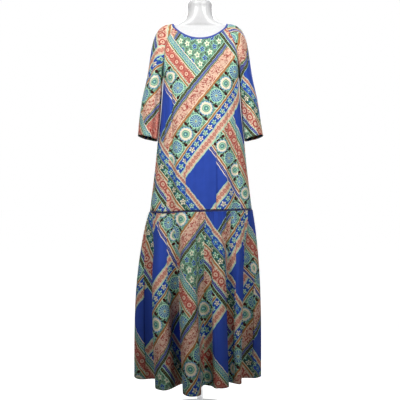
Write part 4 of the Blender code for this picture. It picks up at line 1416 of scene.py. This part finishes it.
def skirt_grid():
    """Outer side of the skirt: an ellipse that opens downwards, plus a cosine wave of flutes that
    leans from its place at the seam to its place at the hem, plus small gathers under the seam."""
    columns = np.arange(len(SKIRT_FLUTES) * FLUTE_STEPS)
    half = FLUTE_STEPS // 2
    drop = (np.linspace(0, 1, SKIRT_ROW_COUNT) ** SKIRT_ROW_POWER)[:, None]
    start, start_reach = flute_places(drop, columns // half)
    end, end_reach = flute_places(drop, columns // half + 1)
    part = (columns % half) / half
    rounding = FLUTE_ROUNDING * smooth_step(drop / ROUNDING_FULL)
    angle = np.radians(start + (end - start) * (part + rounding * np.sin(2 * np.pi * part) / (2 * np.pi)))
    reach = (start_reach + end_reach) / 2 + (start_reach - end_reach) / 2 * np.cos(np.pi * part)
    spread = 1 - (1 - drop) ** SPREAD_POWER
    opening = 1 - (1 - drop) ** OPENING_POWER
    seam = columns_at(BODICE_SECTIONS, HIP_SEAM_HEIGHT)
    half_width = seam[0] + (SKIRT_HALF_WIDTH - seam[0]) * spread
    front = seam[1] + (SKIRT_FRONT - seam[1]) * opening
    back = seam[2] + (SKIRT_BACK - seam[2]) * opening
    place = columns / FLUTE_STEPS
    turn = 2 * np.pi * GATHERS_A_FLUTE * place
    fade = 1 - smooth_step(drop / GATHER_END)
    gather = GATHER_DEPTH * np.cos(turn) * fade * wavering(place, *GATHER_WAVER)
    wander, waves = FINE_WANDER
    fine = FINE_GATHER_DEPTH * np.cos(FINE_GATHERS * turn + wander * np.sin(place * waves))
    fine = fine * (1 - smooth_step(drop / FINE_GATHER_END)) * wavering(place, *FINE_WAVER)
    trough = np.exp(-((place % 1 - 0.5) / TROUGH_SPREAD) ** 2) * wavering(place, *TROUGH_WAVER)
    fine = fine - TROUGH_DEPTH * trough * smooth_step(drop / TROUGH_FULL)
    for middle, first, last, spread_flutes, depth in SKIRT_CREASES:
        away = (place - middle + len(SKIRT_FLUTES) / 2) % len(SKIRT_FLUTES) - len(SKIRT_FLUTES) / 2
        rise, fall = SKIRT_CREASE_FADE
        along = smooth_step((drop - first) / rise) * smooth_step((last - drop) / fall)
        fine = fine - depth * along * np.exp(-(away / spread_flutes) ** 2)
    for middle, start_drop, step, _, top_side in SKIRT_LAPS:
        away = -top_side * (place - middle) * FLUTE_CLOTH
        fine = fine - step * smooth_step((drop - start_drop) / SKIRT_LAP_FULL) * lap_step(away)
    out = reach * opening + gather + fine
    ahead = np.cos(angle)
    across = BODICE_SHIFT + (HEM_SHIFT - BODICE_SHIFT) * spread + (half_width + out) * np.sin(angle)
    y = -(np.where(ahead > 0, front, back) + out) * ahead
    top = hip_seam_height((angle + np.pi) % (2 * np.pi) - np.pi) - PIPING_RADIUS - SEAM_GAP
    return np.stack([across, y, top + (HEM_HEIGHT - top) * drop], axis=-1)


skirt = skirt_grid()
skirt_ring = np.concatenate([skirt, skirt[:, :1]], axis=1)
skirt_run = level_run(skirt_ring)
face_column = np.arange(skirt.shape[1])
crest = FLUTE_STEPS * ((face_column + FLUTE_STEPS // 2) // FLUTE_STEPS)
offset = skirt_run[-1:, crest] - skirt_run[:, crest]
skirt_across = np.stack([skirt_run[:, :-1] + offset, skirt_run[:, 1:] + offset], axis=-1)
skirt_drop = np.linspace(0, 1, SKIRT_ROW_COUNT) ** SKIRT_ROW_POWER
for middle, start_drop, _, hidden, _ in SKIRT_LAPS:
    line = round(middle * FLUTE_STEPS)
    next_valley = FLUTE_STEPS * (line // FLUTE_STEPS) + FLUTE_STEPS // 2
    tucked = hidden * smooth_step((skirt_drop - start_drop) / SKIRT_LAP_FULL)
    if line < next_valley:
        skirt_across[:, line:next_valley] += tucked[:, None, None]
    else:
        skirt_across[:, next_valley:line] -= tucked[:, None, None]
skirt_along = side_pairs(skirt_ring[..., 2])
right_side = RIGHT_SIDE_FLUTE * FLUTE_STEPS
for name, first, last in (("front", 0, right_side), ("back", right_side, skirt.shape[1])):
    panel = skirt_ring[:, first:last + 1].copy()
    ahead = -1 if name == "front" else 1
    panel[:, [0, -1], 1] += ahead * SEAM_GAP / 2
    down = down_run(panel)
    run = skirt_run[:, first:last + 1]
    from_seam = np.minimum(down, np.minimum(run - run[:, :1], run[:, -1:] - run))
    mesh = grid_mesh("printed_skirt_" + name, panel,
                     across=skirt_across[:, first:last] + SKIRT_PRINT[0],
                     along=skirt_along[:, first:last] + SKIRT_PRINT[1],
                     marks={"from_seam": from_seam, "from_hem": down[-1:] - down})
    piece = place_piece(mesh, cloth, "skirt_" + name)
    cloth_shell(piece)
    cut_width = float(skirt_run[-1, last] - skirt_run[-1, first])
    cut_length = float(panel[0, :, 2].mean() - HEM_HEIGHT)
    "bodice_" + name
skirt_thread = thread_stitches("hem_stitches", *hem_line(skirt, HEM_STITCH), HEM_PITCH)
place_piece(skirt_thread, sewing_thread, None)

# Hip piping
# A thin cord in a navy bias strip, sewn between the bodice and the skirt all round the hip.
PIPING_STEPS = 384
PIPING_SIDES = 10
PIPING_DYE = (22, 28, 84)


def swept_loop(name, path, across, upwards, profile):
    """Closed tube: at each point of a closed path, the profile's points (out, up) laid along the
    path's own outward and upward directions."""
    out, up = np.array(profile).T[:, :, None, None]
    return grid_mesh(name, path[None] + out * across[None] + up * upwards[None], closed=True, looped=True)


def trim_material(name, colour, scale):
    """Plain dyed bias strip: a fine slanted rib and a faint unevenness of the dye."""
    made, place = new_material(name)
    PALETTE[name] = colour
    tone = ranged(noise(place, 70.0, 4.0), 0.75, 1.2)
    shade = tone.node("ShaderNodeVectorMath", {"operation": "SCALE"}, {0: dye(name)[:3], "Scale": tone})
    rib = place.node("ShaderNodeTexWave", {"bands_direction": "DIAGONAL"},
                     {"Vector": place, "Scale": scale, "Distortion": 1.0})
    return finished(made, {"Base Color": shade, "Normal": bumped(rib, 0.3, 0.0003),
                           "Roughness": 0.7, "Sheen Weight": 0.08})


piping_turn = 2 * np.pi * np.arange(PIPING_STEPS) / PIPING_STEPS
piping_height = hip_seam_height(wrapped(np.degrees(piping_turn)) * np.pi / 180)
piping_out = np.stack([np.sin(piping_turn), -np.cos(piping_turn), 0 * piping_turn], axis=1)
piping_path = section_points(BODICE_SECTIONS, piping_height, piping_turn, BODICE_SHIFT)
piping_path -= (fold_depth(piping_turn, piping_height, piping_height) + WALL / 2)[:, None] * piping_out
piping_profile = [(PIPING_RADIUS * math.sin(a), PIPING_RADIUS * math.cos(a))
                  for a in 2 * np.pi * np.arange(PIPING_SIDES) / PIPING_SIDES]
piping_mesh = swept_loop("piped_seam", piping_path, piping_out, np.array([[0, 0, 1.0]]), piping_profile)
piping_cloth = trim_material("piping_cloth", PIPING_DYE, 300.0)
piping = place_piece(piping_mesh, piping_cloth, "hip_piping")
piping_length = float(np.linalg.norm(piping_path - np.roll(piping_path, 1, axis=0), axis=1).sum())

# Neckline binding
# A cobalt bias strip folded over the edge of the bodice panels and of the sleeves' shoulders.
BINDING_WIDTH = 0.0055
BINDING_THICKNESS = 0.0029
BINDING_LIFT = 0.00045
BINDING_OVERLAP = 0.0030
BINDING_DYE = (38, 64, 152)
EDGE_STITCH = 0.0010
BINDING_PITCH = 0.0026
BINDING_FOOT_ROUNDING = 0.0004
EDGE_ROWS = 6
SMOOTHING_TIMES = 6


def edge_frames(grid, rows_down):
    """Points of a grid's top row, their outward directions and their upward ones, away from a
    lower row of the grid."""
    up = unit(grid[0] - grid[rows_down])
    return grid[0], facing_out(grid[0], up), up


def smoothed(vectors, times):
    """Directions round a closed path, each averaged with its neighbours."""
    for _ in range(times):
        vectors = unit(np.roll(vectors, 1, axis=0) + 2 * vectors + np.roll(vectors, -1, axis=0))
    return vectors


mid, neck, over = ARMHOLE_STEPS, NECKLINE_STEPS, SHOULDER_STEPS
bodice_rim = edge_frames(bodice, EDGE_ROWS)
right_rim = edge_frames(sleeves["right"], EDGE_ROWS)
left_rim = edge_frames(sleeves["left"], EDGE_ROWS)
over_shoulder = slice(mid + 1, mid + over)
binding_path, binding_out, binding_up = [
    np.concatenate([bodice_rim[part][mid:mid + neck + 1], right_rim[part][over_shoulder],
                    bodice_rim[part][3 * mid + neck:3 * mid + 2 * neck + 1],
                    left_rim[part][over_shoulder][::-1]]) for part in range(3)]
binding_out = smoothed(binding_out, SMOOTHING_TIMES)
binding_up = smoothed(binding_up, SMOOTHING_TIMES)
binding_up = unit(binding_up - binding_out * np.sum(binding_up * binding_out, axis=1, keepdims=True))
half_thick = BINDING_THICKNESS / 2
corner = half_thick * 0.8
binding_profile = [(math.sin(a) * half_thick, BINDING_LIFT + BINDING_WIDTH - corner + math.cos(a) * corner)
                   for a in np.radians(np.linspace(-75, 75, 7))]
binding_foot = BINDING_LIFT - BINDING_OVERLAP
binding_side = [(half_thick, BINDING_LIFT + BINDING_WIDTH * 0.4),
                (half_thick, binding_foot + BINDING_FOOT_ROUNDING), (half_thick * 0.7, binding_foot)]
binding_profile += binding_side + [(-out, up) for out, up in reversed(binding_side)]
binding_path = binding_path - binding_out * WALL / 2
binding_mesh = swept_loop("neckline_binding", binding_path, binding_out, binding_up, binding_profile)
binding = place_piece(binding_mesh, trim_material("binding_cloth", BINDING_DYE, 260.0), "neck_binding")
binding_length = float(np.linalg.norm(binding_path - np.roll(binding_path, 1, axis=0), axis=1).sum())
edge_line = binding_path + binding_out * half_thick + binding_up * (binding_foot + EDGE_STITCH)
edge_thread = thread_stitches("binding_stitches", edge_line, binding_out, BINDING_PITCH)
place_piece(edge_thread, trim_material("binding_thread", BINDING_DYE, 900.0), None)
